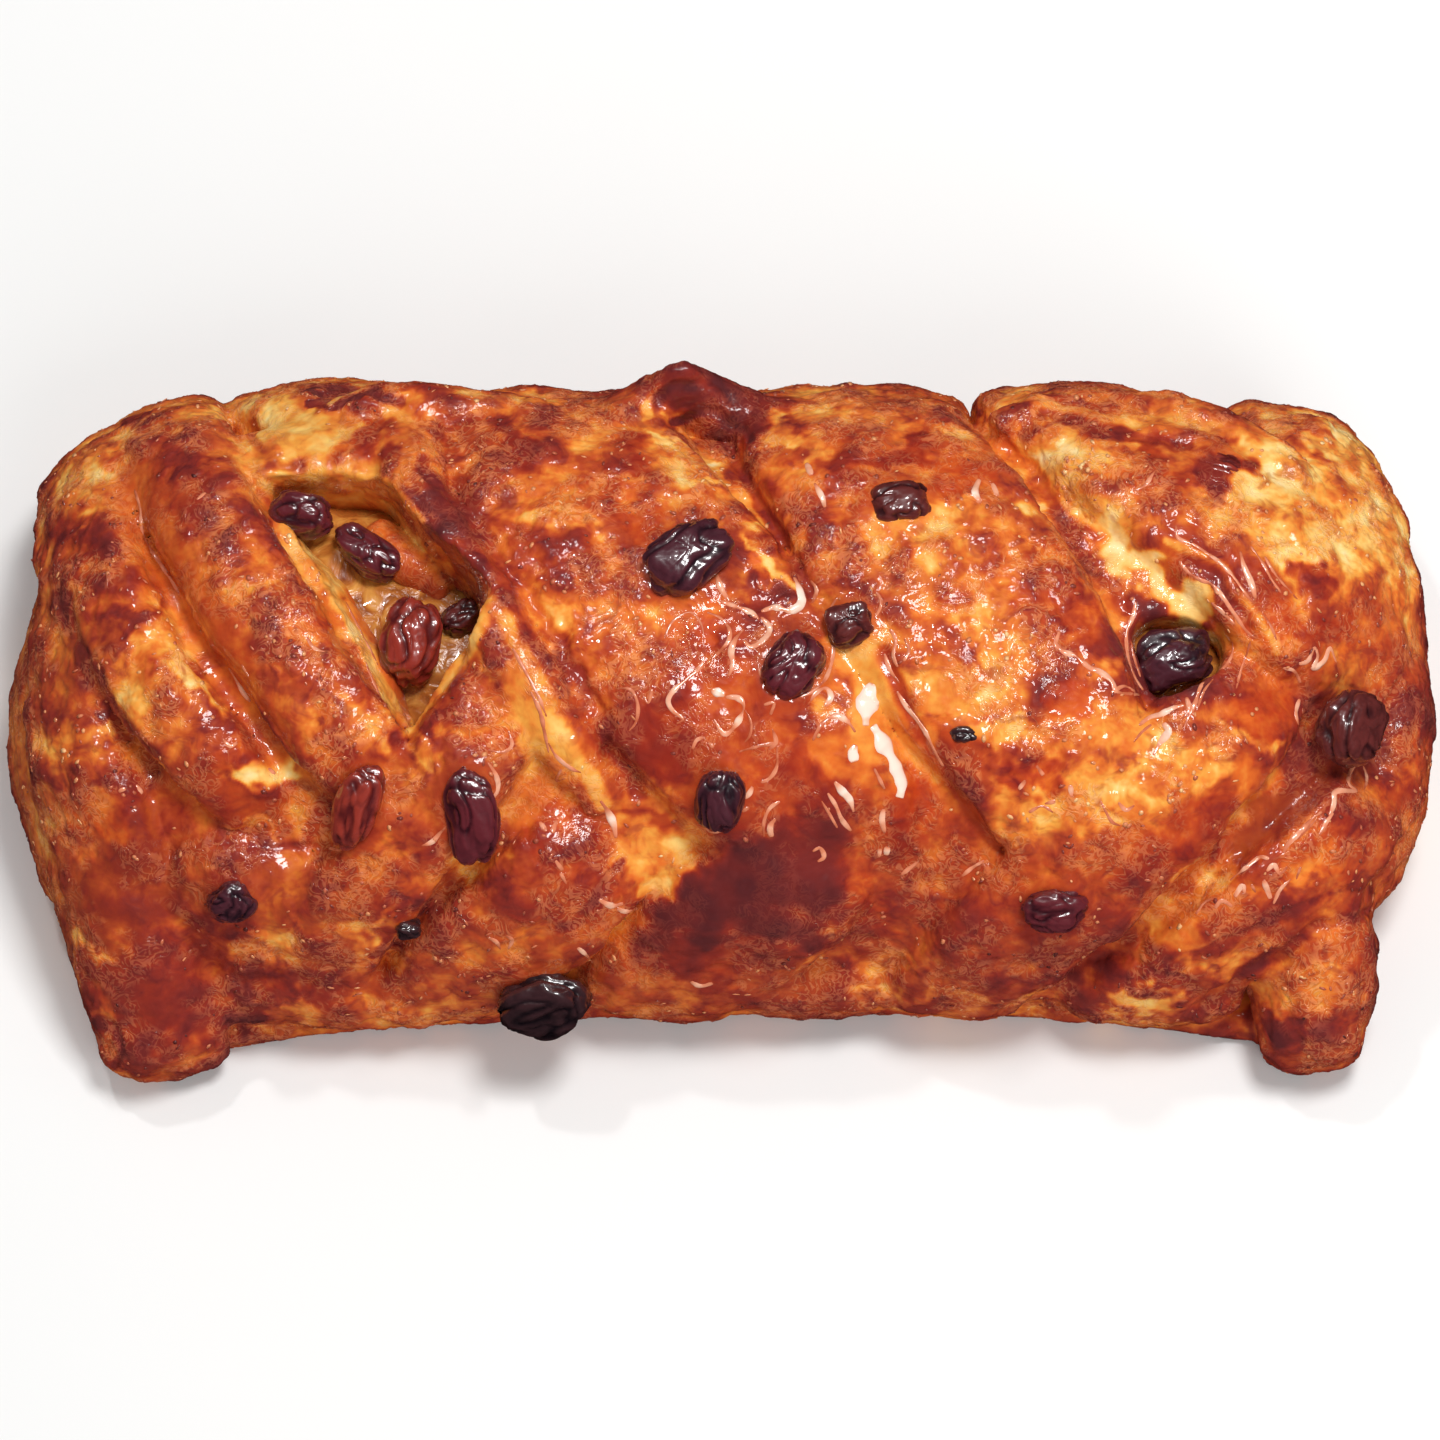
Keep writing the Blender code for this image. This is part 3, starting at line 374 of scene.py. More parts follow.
# Threads and pools of glaze, real ridges whose pale colour is a painted highlight: half thickness in tenths
# of a mm, then the places it runs through
HIGHLIGHT_THREADS = [
    (2.6, (704, 655), (701, 666), (688, 678), (674, 690), (668, 701), (673, 711), (683, 719), (676, 724)),
    (1.6, (664, 640), (672, 622), (690, 612), (702, 626), (704, 650)),
    (2.0, (706, 612), (719, 617), (729, 628), (729, 640), (721, 650), (709, 661)),
    (3.0, (744, 628), (735, 640), (731, 652), (733, 664), (728, 677)),
    (3.4, (760, 616), (770, 628), (763, 640), (751, 647), (743, 639)),
    (2.0, (822, 612), (831, 632), (833, 655), (827, 676), (815, 690), (798, 698)),
    (1.6, (757, 655), (760, 672), (770, 686), (784, 694)),
    (1.5, (618, 688), (631, 690), (638, 705), (636, 722), (628, 732)),
    (1.8, (640, 690), (648, 703), (652, 688)),
    (3.0, (713, 718), (724, 734), (735, 726), (744, 708), (738, 698), (724, 697)),
    (4.0, (710, 690), (726, 695)), (1.6, (744, 708), (751, 722), (750, 735), (744, 743)),
    (2.2, (763, 705), (774, 703), (770, 716)), (1.8, (772, 728), (776, 742), (768, 750)),
    (2.0, (738, 752), (752, 748), (770, 744), (778, 746)),
    (2.0, (777, 746), (777, 766), (770, 778), (760, 783)), (2.0, (742, 800), (749, 794), (753, 786)),
    (2.0, (741, 812), (750, 807)), (2.2, (703, 824), (710, 832), (721, 831), (728, 824)),
    (2.0, (764, 838), (764, 822), (770, 808), (781, 801)), (2.6, (772, 838), (770, 827), (776, 818)),
    (1.8, (692, 750), (697, 740), (706, 737)), (1.8, (708, 742), (714, 748)),
    # The widest threads here are painted glare on the wet glaze
    (9.0, (873, 682), (868, 698), (866, 714), (866, 727)), (5.5, (856, 744), (853, 753), (855, 763)),
    (9.5, (872, 724), (881, 738), (890, 754), (898, 770), (902, 786), (899, 799)),
    (2.4, (874, 768), (879, 778), (885, 790)), (4.0, (884, 808), (882, 820), (885, 834)),
    (3.0, (880, 848), (879, 858)), (2.6, (888, 846), (886, 856)),
    (2.4, (896, 690), (906, 706), (917, 720), (926, 734), (934, 750), (944, 768)),
    (2.6, (889, 628), (896, 640), (893, 655), (898, 668)), (2.2, (884, 652), (890, 670), (900, 684)),
    (2.2, (904, 638), (909, 650), (903, 662)), (3.2, (834, 781), (842, 791), (850, 800), (854, 813)),
    (2.2, (827, 792), (836, 806), (842, 820), (852, 832)), (1.6, (821, 800), (830, 815), (838, 829)),
    (2.6, (812, 742), (822, 724), (836, 716), (848, 722), (856, 733)),
    (2.6, (810, 702), (816, 693), (826, 688), (831, 697), (824, 707)),
    (3.2, (716, 572), (721, 588), (730, 602)), (2.8, (718, 600), (735, 606), (750, 612), (760, 620)),
    (4.0, (760, 612), (775, 607), (790, 611), (801, 604), (800, 590), (794, 576)),
    (2.6, (810, 580), (816, 590), (812, 604)),
    (2.0, (838, 596), (829, 612), (829, 627), (839, 639), (852, 643)),
    (1.8, (876, 590), (881, 604), (874, 620)), (3.6, (600, 800), (608, 812), (614, 826), (616, 839)),
    (2.2, (812, 852), (820, 848), (824, 857), (817, 862)), (2.0, (900, 876), (910, 868), (919, 861)),
    (2.2, (1136, 600), (1133, 616), (1127, 632), (1127, 650), (1131, 667), (1137, 681), (1144, 691)),
    (1.6, (1131, 640), (1135, 660), (1141, 678)),
    (3.0, (1054, 638), (1062, 651), (1076, 656), (1090, 668), (1101, 672), (1112, 681), (1118, 692),
     (1142, 695)), (2.2, (1060, 630), (1056, 645), (1067, 652)),
    (2.6, (1110, 694), (1124, 686), (1136, 692)),
    (3.0, (1138, 726), (1150, 717), (1161, 714), (1173, 708), (1185, 705)),
    (3.4, (1163, 722), (1168, 732), (1160, 743), (1153, 756)),
    (2.0, (1186, 696), (1189, 710), (1180, 721)), (1.6, (1133, 743), (1142, 732), (1152, 724)),
    (2.2, (1232, 640), (1232, 655), (1223, 668), (1208, 676), (1200, 688), (1196, 701), (1189, 716),
     (1184, 729)), (1.6, (1251, 640), (1246, 656), (1241, 670), (1236, 690)),
    (1.6, (1214, 678), (1204, 691), (1196, 712)),
    (2.4, (1178, 560), (1188, 572), (1200, 580), (1211, 584), (1222, 596), (1233, 612), (1244, 628),
     (1253, 637)), (2.2, (1210, 602), (1222, 612), (1235, 625)),
    (2.2, (1176, 524), (1178, 538), (1193, 544), (1207, 553), (1221, 563), (1233, 576), (1246, 594),
     (1255, 604)), (3.0, (1240, 550), (1244, 566), (1251, 582), (1256, 600)),
    (1.6, (1250, 545), (1262, 562), (1272, 580), (1282, 594)),
    (1.6, (1264, 555), (1276, 575), (1300, 602)), (1.6, (1262, 612), (1271, 626), (1277, 641)),
    (3.2, (1298, 664), (1308, 661), (1314, 648), (1318, 656), (1314, 668), (1324, 662), (1330, 648),
     (1337, 664)), (2.2, (1282, 668), (1294, 671), (1301, 684)),
    (2.0, (1300, 698), (1296, 712), (1299, 726)),
    (3.2, (1356, 762), (1350, 773), (1349, 784), (1357, 791), (1336, 791), (1334, 804), (1329, 817)),
    (2.0, (1363, 765), (1367, 778), (1364, 790)),
    (2.6, (1323, 811), (1312, 819), (1304, 828), (1296, 836), (1288, 844), (1283, 854)),
    (1.8, (1318, 818), (1306, 830), (1297, 840)), (1.8, (1334, 812), (1326, 823), (1319, 836)),
    (2.6, (1270, 859), (1260, 857), (1250, 864), (1240, 872), (1229, 881)),
    (2.8, (1234, 898), (1242, 886), (1245, 894)), (2.2, (1251, 884), (1256, 893)),
    (2.6, (1263, 879), (1271, 900)), (2.2, (1266, 872), (1274, 865), (1280, 874), (1288, 866)),
    (2.0, (1292, 878), (1280, 890), (1273, 905)), (2.0, (1301, 866), (1296, 880)),
    (2.2, (1214, 909), (1222, 901), (1233, 907)), (1.8, (1195, 915), (1205, 902), (1215, 898)),
    (1.8, (1100, 800), (1106, 812), (1112, 822), (1121, 826)), (2.6, (1070, 784), (1072, 798)),
    (2.0, (1028, 813), (1042, 806), (1054, 813)), (2.2, (1044, 804), (1056, 801)),
    (1.6, (1118, 802), (1126, 810), (1135, 805)), (3.2, (1036, 765), (1044, 776)),
    (2.2, (1018, 790), (1026, 780)), (2.0, (134, 488), (140, 508), (142, 530), (150, 550)),
    (2.2, (145, 540), (155, 556), (168, 575), (180, 595)),
    (2.8, (228, 667), (236, 680), (244, 694), (251, 702)), (1.6, (241, 664), (249, 678)),
    (2.2, (512, 647), (520, 662), (530, 680), (540, 700), (547, 718)),
    (2.2, (530, 690), (540, 712), (545, 735), (549, 754)),
    (2.0, (548, 742), (556, 756), (570, 768), (582, 773)), (1.8, (562, 768), (556, 781), (566, 778)),
    (1.6, (345, 600), (355, 620), (368, 645), (379, 667)), (1.6, (365, 660), (373, 681), (386, 707)),
    (2.6, (487, 761), (496, 775), (498, 790), (491, 801)),
    (2.0, (508, 730), (512, 745), (503, 752), (487, 750)),
    (2.2, (421, 846), (432, 842), (440, 833), (447, 826)), (2.6, (328, 848), (340, 850), (348, 845)),
    (2.0, (487, 937), (496, 942), (501, 950)), (2.0, (505, 935), (512, 940), (508, 950)),
    (2.6, (577, 947), (586, 955), (593, 964)), (2.6, (598, 899), (612, 906), (624, 903)),
    (3.0, (616, 908), (627, 912), (638, 907)), (3.0, (690, 981), (700, 986), (714, 983)),
    (2.0, (555, 860), (563, 871)), (2.0, (560, 872), (567, 885)), (2.4, (539, 821), (547, 832)),
    (2.4, (557, 819), (552, 834)), (2.0, (961, 877), (972, 868), (985, 860)),
    (3.6, (980, 478), (975, 491), (981, 504)), (2.6, (992, 482), (998, 497)),
    (3.0, (806, 462), (812, 476)), (3.0, (814, 482), (822, 497), (825, 508)),
    (2.0, (1134, 491), (1145, 485), (1156, 469)), (2.2, (118, 792), (126, 788)),
    (2.2, (136, 784), (143, 794)), (2.0, (222, 738), (230, 746), (238, 742)),
    (2.0, (268, 768), (276, 774)), (2.4, (306, 636), (314, 648), (326, 652)),
    (1.8, (196, 500), (206, 492)),
]

VOXEL = 0.27 * MM
POOL_ROUNDS = 44
BROAD_ROUNDS = 110
GLAZE_SPREAD_ROUNDS = 6
MARK_STRENGTH = 0.88
# A mark is whole up to the first of these shares of its half sizes, and gone at the second
MARK_FADE = (0.62, 1.30)
FOLD_STRENGTH = 0.65
THREAD_STEP = 0.098 * MM
FLAKES_PER_MM2 = 0.36
SLAB_BORDERS = (-90, -49, -26, 0, 26, 52, 90)

# Spacings of the crust's unevenness, and where glaze climbs against fruit
WIDE_SPACING = 11.0 * MM
HUE_SPACING = 9.0 * MM
SWELL_SPACING = 5.2 * MM
BUMP_SPACING = 2.3 * MM
FLAKE_SPACING = 1.5 * MM
CRACKLE_SPACING = 0.8 * MM
RIM_REACH = 0.9 * MM
RIM_RISE = 0.30 * MM
# Below the first height the crust is flat on the floor, and above the second it may line an opening
FOOT_HEIGHT = 0.5 * MM
OPENING_HEIGHT = 12.0 * MM
CHARRED_TONE = 0.78

WRINKLE_DEPTH = 0.13
DENT_DEPTH = 0.20
RAISIN_POWER = 2.6
RAISIN_FILL = 0.97
CRUMB_SEED = 30

# Lights: place and size in metres, watts, and whether the glaze mirrors them
LIGHTS = {
    "key": ((0.12, 0.10, 0.60), (0.16, 0.16), 2.33, True),
    "sparkle": ((-0.16, 0.24, 0.50), (0.03, 0.03), 0.5, True),
    "fill": ((0.25, -0.50, 0.40), (0.50, 0.50), 2.0, False),
}
LIGHT_TARGET = (0.0, 0.0, 0.02)
SKY_STRENGTH = 0.30
FLOOR_HALF_SIZE = 6.0
FLOOR_COLOUR = (0.86, 0.86, 0.85, 1.0)


def collection(name):
    group = bpy.data.collections.new(name)
    bpy.context.scene.collection.children.link(group)
    return group


def new_object(name, data, group=None):
    obj = bpy.data.objects.new(name, data)
    (group or bpy.context.scene.collection).objects.link(obj)
    return obj


def end_powers(right, far):
    """Powers of the loaf's height and width along it, for places to its right and on its far side."""
    tall = np.where(right, END_POWER_HEIGHT[1], END_POWER_HEIGHT[-1])
    wide = np.where(right, np.where(far, END_POWER_WIDTH[(1, 1)], END_POWER_WIDTH[(1, -1)]),
                    np.where(far, END_POWER_WIDTH[(-1, 1)], END_POWER_WIDTH[(-1, -1)]))
    return tall, wide


def end_share(x, power):
    """How much of the full section is left at x, from 1 in the middle to 0 at either end."""
    along = np.minimum(np.abs(2 * (x - LOAF_MIDDLE[0]) / LOAF_LENGTH), 0.9998)
    return (1 - along ** power) ** (1 / power)


def skin(x, share):
    """Points of the loaf's skin at x, share -1 at the near floor edge, 0 on the crown, 1 at the far one."""
    x, share = np.broadcast_arrays(np.asarray(x, float), np.asarray(share, float))
    angle = (1 - share) * np.pi / 2
    across = np.sign(np.cos(angle)) * np.abs(np.cos(angle)) ** (2 / SECTION_POWER)
    up = np.abs(np.sin(angle)) ** (2 / SECTION_POWER)
    tall, wide = end_powers(x > LOAF_MIDDLE[0], across > 0)
    height = LOAF_HEIGHT * end_share(x, tall) * up
    tuck = TUCK_DEPTH * np.exp(-(height / TUCK_HEIGHT) ** 2)
    half = np.maximum(LOAF_HALF_WIDTH * end_share(x, wide) - tuck, 0.5 * MM)
    return np.stack([x, LOAF_MIDDLE[1] + half * across, height], axis=-1)


def skin_normal(x, share):
    """Outward directions of the loaf's skin."""
    step = 0.5 * MM
    share = np.clip(share, -SHARE_LIMIT, SHARE_LIMIT)
    along = skin(x + step, share) - skin(x - step, share)
    across = skin(x, share + 0.01) - skin(x, share - 0.01)
    normal = np.cross(along, across)
    return normal / np.linalg.norm(normal, axis=-1, keepdims=True)


def reach_from_middle(points):
    """How far out of the loaf's middle points are: 1 is the bare skin."""
    x = points[:, 0]
    tall, wide = end_powers(x > LOAF_MIDDLE[0], points[:, 1] > LOAF_MIDDLE[1])
    across = (points[:, 1] - LOAF_MIDDLE[1]) / (LOAF_HALF_WIDTH * end_share(x, wide))
    up = np.maximum(points[:, 2], 0) / (LOAF_HEIGHT * end_share(x, tall))
    return (np.abs(across) ** SECTION_POWER + up ** SECTION_POWER) ** (1 / SECTION_POWER)


def swell_noise(points, spacing, origin=NOISE_ORIGIN):
    """Soft noise from about -0.5 to 0.5 at each point, one swell every spacing metres."""
    scaled = points.reshape(-1, 3) / spacing + np.array(origin)
    values = np.array([noise.noise(Vector(p)) for p in scaled])
    return values.reshape(points.shape[:-1])


def smooth_row(points, steps, closed=False):
    """Points along a Catmull-Rom curve through the given ones."""
    known = [np.array(p, float) for p in points]
    if closed:
        known = [known[-1], *known, known[0], known[1]]
    else:
        known = [2 * known[0] - known[1], *known, 2 * known[-1] - known[-2]]
    spans = len(known) - 3
    row = []
    for i in range(steps):
        place = spans * i / (steps if closed else steps - 1)
        k = min(int(place), spans - 1)
        t = place - k
        a, b, c, d = known[k:k + 4]
        row.append(0.5 * (2 * b + (c - a) * t + (2 * a - 5 * b + 4 * c - d) * t * t
                          + (3 * b - a - 3 * c + d) * t ** 3))
    return np.array(row)


def loft(name, rings, group):
    """A closed mesh through rings, an array of ring by point by xyz, capped at both ends."""
    rows, count = rings.shape[:2]
    ids = np.arange(rows * count).reshape(rows, count)
    ahead = np.roll(ids, -1, axis=1)
    quads = np.stack([ids[:-1], ahead[:-1], ahead[1:], ids[1:]], axis=-1).reshape(-1, 4)
    faces = quads.tolist() + [ids[0][::-1].tolist(), ids[-1].tolist()]
    data = bpy.data.meshes.new(name)
    data.from_pydata(rings.reshape(-1, 3).tolist(), [], faces)
    mesh = bmesh.new()
    mesh.from_mesh(data)
    bmesh.ops.recalc_face_normals(mesh, faces=mesh.faces)
    mesh.to_mesh(data)
    mesh.free()
    return new_object(name, data, group)


def row_directions(row):
    """Directions along a row of points and to its side, seen from above."""
    ahead = np.gradient(row[:, :2], axis=0)
    ahead /= np.linalg.norm(ahead, axis=1, keepdims=True)
    return ahead, np.stack([-ahead[:, 1], ahead[:, 0]], axis=1)


def make_loaf(group):
    turns = np.linspace(-1, 1, 101) * math.pi / 2
    x = LOAF_MIDDLE[0] + LOAF_LENGTH / 2 * np.sin(turns)
    points = skin(x[:, None], np.linspace(-1, 1, 81)[None, :])
    lift = BLISTER_HEIGHT * swell_noise(points, BLISTER_SPACING)
    lift[:, [0, -1]] = 0
    points[..., 2] = np.maximum(points[..., 2] + lift, 0)
    return loft("loaf", points, group)


def make_flap(name, stations, lift, group, steps=56, ring=40):
    """A band of dough laid on the loaf along its stations, its far end pressed down."""
    row = smooth_row([(x * MM, s * HALF_ARC, w * MM) for x, s, w in stations], steps)
    limit = LOAF_LENGTH / 2 - 2.0 * MM
    _, side = row_directions(row)
    place = np.linspace(0, 1, steps)
    swell = np.maximum(1 - np.abs(2 * place - 1) ** FLAP_TIP_POWER, 0.06) ** (1 / FLAP_TIP_POWER)
    fade = 1 - (np.maximum(0, place - 1 + FLAP_FADE) / FLAP_FADE) ** 2 * 0.8
    turn = 2 * np.pi * (np.arange(ring) + 0.5) / ring
    q = np.cos(turn)
    reach = (row[:, 2] * (0.55 + 0.45 * swell))[:, None, None]
    spot = row[:, None, :2] + side[:, None, :] * q[None, :, None] * reach
    x = np.clip(spot[..., 0] - LOAF_MIDDLE[0], -limit, limit) + LOAF_MIDDLE[0]
    share = np.clip(spot[..., 1] / HALF_ARC, -SHARE_LIMIT, SHARE_LIMIT)
    edge = (1 - np.abs(q) ** FLAP_EDGE_POWER) ** (1 / FLAP_EDGE_POWER)
    points = skin(x, share)
    top = (lift * MM + FLAP_THICKNESS * edge[None, :] * swell[:, None]) * fade[:, None]
    top = top + BLISTER_HEIGHT * swell_noise(points * 1.7, BLISTER_SPACING)
    under = -FLAP_SUNK * (0.4 + 0.6 * edge)[None, :]
    rise = np.where(np.sin(turn)[None, :] > 0, top, under)
    points = points + skin_normal(x, share) * rise[..., None]
    points[..., 2] = np.maximum(points[..., 2], FLOOR_RISE)
    return loft(name, points, group)


def make_sheet(group):
    """The flat sheet of dough under the loaf, with a rounded edge."""
    outline = smooth_row(SHEET_OUTLINE, 160, closed=True)
    rings = []
    for inset, height in SHEET_EDGE:
        flat = outline * (1 - inset / np.linalg.norm(outline, axis=1, keepdims=True)) * MM
        rings.append(np.column_stack([flat, np.full(len(flat), SHEET_THICKNESS * height)]))
    return loft("bottom_sheet", np.array(rings), group)


def make_roll(name, stations, group, count=40, steps=60, lumps=ROLL_LUMPS):
    """A lumpy roll along its stations, kept clear of the floor."""
    row = smooth_row(np.array(stations) * MM, steps)
    ahead, side = row_directions(row)
    place = np.linspace(-1, 1, steps)
    tip = np.maximum(0, (np.abs(place) - 0.88) / 0.12)
    shrink = (1 - 0.5 * tip ** 3)[:, None]
    row[:, :2] += ahead * (np.sign(place) * tip * 0.25 * row[:, 3])[:, None]
    turn = 2 * np.pi * np.arange(count) / count
    middle = np.repeat(row[:, None, :3], count, axis=1)
    aside = np.stack([np.outer(side[:, 0], np.cos(turn)), np.outer(side[:, 1], np.cos(turn)),
                      np.zeros((steps, count))], axis=-1)
    lump = 1 + lumps * swell_noise(middle + aside * 7 * MM, 7 * MM, (0, 0, 0))
    points = middle + aside * (row[:, 3][:, None] * lump * shrink)[..., None]
    points[..., 2] += np.sin(turn)[None, :] * row[:, 4][:, None] * lump * shrink
    points[..., 2] = np.maximum(points[..., 2], FLOOR_RISE)
    return loft(name, points, group)


def make_window(name, outline, shift, shrink, group):
    """The cutter of an opening, which widens upwards from its floor."""
    middle = np.mean(np.array(outline), axis=0)
    row = smooth_row(outline, 60, closed=True)
    rings = []
    for height, share, offset in ((WINDOW_FLOOR, shrink, shift), (WINDOW_TOP, 1.22 - 0.22 * shrink, 0.0)):
        flat = (middle + (row - middle) * share + [offset, 0]) * MM
        rings.append(np.column_stack([flat, np.full(len(flat), height)]))
    return loft(name, np.array(rings), group)


def apply_modifiers(obj):
    """Replaces an object's mesh with what its modifiers make of it."""
    graph = bpy.context.evaluated_depsgraph_get()
    data = bpy.data.meshes.new_from_object(obj.evaluated_get(graph))
    obj.modifiers.clear()
    old = obj.data
    obj.data = data
    bpy.data.meshes.remove(old)


def combine(obj, group, operation):
    """One Boolean of obj with everything in group, whose objects are then removed."""
    boolean = obj.modifiers.new(operation.lower(), "BOOLEAN")
    boolean.operation = operation
    boolean.operand_type = "COLLECTION"
    boolean.collection = group
    boolean.solver = "MANIFOLD"
    apply_modifiers(obj)
    for other in list(group.objects):
        bpy.data.objects.remove(other)
    bpy.data.collections.remove(group)


def remesh(obj, voxel):
    modifier = obj.modifiers.new("even_faces", "REMESH")
    modifier.mode = "VOXEL"
    modifier.voxel_size = voxel
    apply_modifiers(obj)


def read_rows(items, field, width, kind=np.float32):
    """A field of every vertex, edge or corner, as rows of width numbers."""
    values = np.empty(len(items) * width, kind)
    items.foreach_get(field, values)
    return values.reshape(-1, width)


def read_points(data):
    return read_rows(data.vertices, "co", 3).astype(float)


def write_points(data, points):
    data.vertices.foreach_set("co", points.astype(np.float32).ravel())
    data.update()


def read_normals(data):
    return read_rows(data.vertex_normals, "vector", 3).astype(float)


def neighbour_mean(values, edges):
    """The mean of each vertex's neighbours."""
    count = len(values)
    degree = np.maximum(np.bincount(edges.ravel(), minlength=count), 1)
    columns = []
    for column in values.reshape(count, -1).T:
        total = np.bincount(edges[:, 0], column[edges[:, 1]], count)
        columns.append((total + np.bincount(edges[:, 1], column[edges[:, 0]], count)) / degree)
    return np.array(columns).T.reshape(values.shape)


def put_attribute(data, name, values):
    attribute = data.attributes.new(name, "FLOAT", "POINT")
    attribute.data.foreach_set("value", values.astype(np.float32))


def raisin_places():
    """Middle, axes, half sizes in metres and finish of every raisin, those on the flaps first."""
    places = []
    for x, share, length, width, height, turn, rise, finish in RAISINS:
        normal = Vector(skin_normal(x * MM, share))
        middle = Vector(skin(x * MM, share)) + normal * (FLAP_THICKNESS + rise * MM)
        places.append((middle, normal, turn, (length, width, height), finish))
    for x, y, z, length, width, height, turn, tip, finish in WINDOW_RAISINS:
        normal = Vector((0, -math.sin(math.radians(tip)), math.cos(math.radians(tip))))
        places.append((Vector((x, y, z)) * MM, normal, turn, (length, width, height), finish))
    found = []
    for middle, normal, turn, sizes, finish in places:
        ahead = (Vector((1, 0, 0)) - normal * normal.x).normalized()
        aside = normal.cross(ahead)
        cosine, sine = math.cos(math.radians(turn)), math.sin(math.radians(turn))
        axes = np.array([ahead * cosine + aside * sine, aside * cosine - ahead * sine, normal])
        found.append((np.array(middle), axes, np.array(sizes) * MM, finish))
    return found


def ease(values, low, high):
    """0 below low, 1 above high, smooth between."""
    t = np.clip((values - low) / (high - low), 0, 1)
    return t * t * (3 - 2 * t)


def dough_body():
    """Loaf, flaps, rolls and sheet joined, with the openings cut, as even small faces."""
    pieces, cutters = collection("dough_pieces"), collection("opening_cutters")
    inner = collection("inner_dough")
    body = make_loaf(None)
    make_sheet(pieces)
    for name, (stations, lift) in FLAPS.items():
        make_flap(name, stations, lift, pieces)
    for name, stations in ROLLS.items():
        make_roll(name, stations, pieces)
    combine(body, pieces, "UNION")
    for name, (outline, (shift, shrink)) in WINDOWS.items():
        make_window(name, outline, shift, shrink, cutters)
    combine(body, cutters, "DIFFERENCE")
    for name, stations in INNER_ROLLS.items():
        make_roll(name, stations, inner)
    combine(body, inner, "UNION")
    remesh(body, VOXEL)
    return body


def plan_view():
    """Eye point and the directions across, up and back of the plan's view."""
    cosine, sine = math.cos(PLAN_SLANT), math.sin(PLAN_SLANT)
    back = np.array([0.0, -cosine, sine])
    across, up = np.array([1.0, 0.0, 0.0]), np.array([0.0, sine, cosine])
    return PLAN_TARGET + back * PLAN_REACH, across, up, back


def plan_places(points):
    """Where points lie on the plan, across and down."""
    eye, across, up, back = plan_view()
    offset = points - eye
    scale = 2 * PLAN_MIDDLE * LENS_MM / SENSOR_MM / -(offset @ back)
    return PLAN_MIDDLE + np.stack([(offset @ across) * scale, -(offset @ up) * scale], axis=1)


def plan_start(across, down, depth=0.45):
    """A point above the danish on the line of sight to a place of the plan."""
    eye, right, up, back = plan_view()
    step = SENSOR_MM / LENS_MM / 2 / PLAN_MIDDLE
    aside = right * (across - PLAN_MIDDLE) + up * (PLAN_MIDDLE - down)
    return eye + depth * (aside * step - back)


def line_distance(places, line, reach):
    """Distance of places from a line of places, in tenths of a mm; those beyond reach get reach."""
    row = smooth_row(line, 6 * len(line))
    found = np.full(len(places), float(reach))
    near = np.all((places > row.min(axis=0) - reach) & (places < row.max(axis=0) + reach), axis=1)
    spots = places[near]
    best = np.full(len(spots), float(reach))
    for start, end in zip(row[:-1], row[1:]):
        span = end - start
        along = np.clip((spots - start) @ span / max(span @ span, 1e-9), 0, 1)
        best = np.minimum(best, np.linalg.norm(spots - start - along[:, None] * span, axis=1))
    found[near] = best
    return found


def swell_field(points, spacing, origin):
    """Two independent noises at each point, to shift plan places by."""
    return np.stack([swell_noise(points, spacing, start) for start in (origin, origin[::-1])], axis=1)


def facing_plan(points, normals):
    """1 where the crust faces the plan's eye, 0 where it is turned away."""
    sight = plan_view()[0] - points
    return ease(np.sum(sight * normals, axis=1) / np.linalg.norm(sight, axis=1), 0.02, 0.22)


def lay_marks(places, seen, looks):
    """Blends each mark, of the bake or of painted shade or highlight, into the tone, hue and glaze of the
    crust.
    """
    for across, down, long, tall, turn, *wanted in MARKS:
        cosine, sine = math.cos(math.radians(turn)), math.sin(math.radians(turn))
        right, up = places[:, 0] - across, down - places[:, 1]
        first = (right * cosine + up * sine) / long
        second = (up * cosine - right * sine) / tall
        weight = ease(-np.hypot(first, second), -MARK_FADE[1], -MARK_FADE[0]) * seen * MARK_STRENGTH
        for values, target in zip(looks, wanted):
            values += (target - values) * weight


def lay_folds_with_painted_light(places, seen, looks):
    """Blends each fold into the looks, with painted shade along sunk creases and painted highlight along
    raised rims, and gives how far it lifts or sinks each vertex in metres.
    """
    lift = np.zeros(len(places))
    for half, rise, tone, hue, glaze, *line in FOLDS_WITH_PAINTED_LIGHT:
        away = line_distance(places, line, half * 2.0)
        weight = ease(-away, -1.5 * half, -0.5 * half) * seen
        lift += FOLD_STRENGTH * rise * MM * ease(-away, -1.7 * half, 0.0) * seen
        for values, target in zip(looks, (tone, hue, glaze)):
            values += (target - values) * weight * MARK_STRENGTH
    return lift


def settle_glaze(data, points, edges):
    """Fills creases the way runny glaze does, and gives how deep it lies at each vertex."""
    start = points.copy()
    standing = points[:, 2] > FOOT_HEIGHT
    for turn in range(POOL_ROUNDS):
        if turn % GLAZE_SPREAD_ROUNDS == 0:
            write_points(data, points)
            normals = read_normals(data)
        step = neighbour_mean(points, edges) - points
        points += normals * (np.maximum(np.sum(step * normals, axis=1), 0) * standing)[:, None]
    write_points(data, points)
    normals = read_normals(data)
    return points, normals, np.maximum(np.sum((points - start) * normals, axis=1), 0)


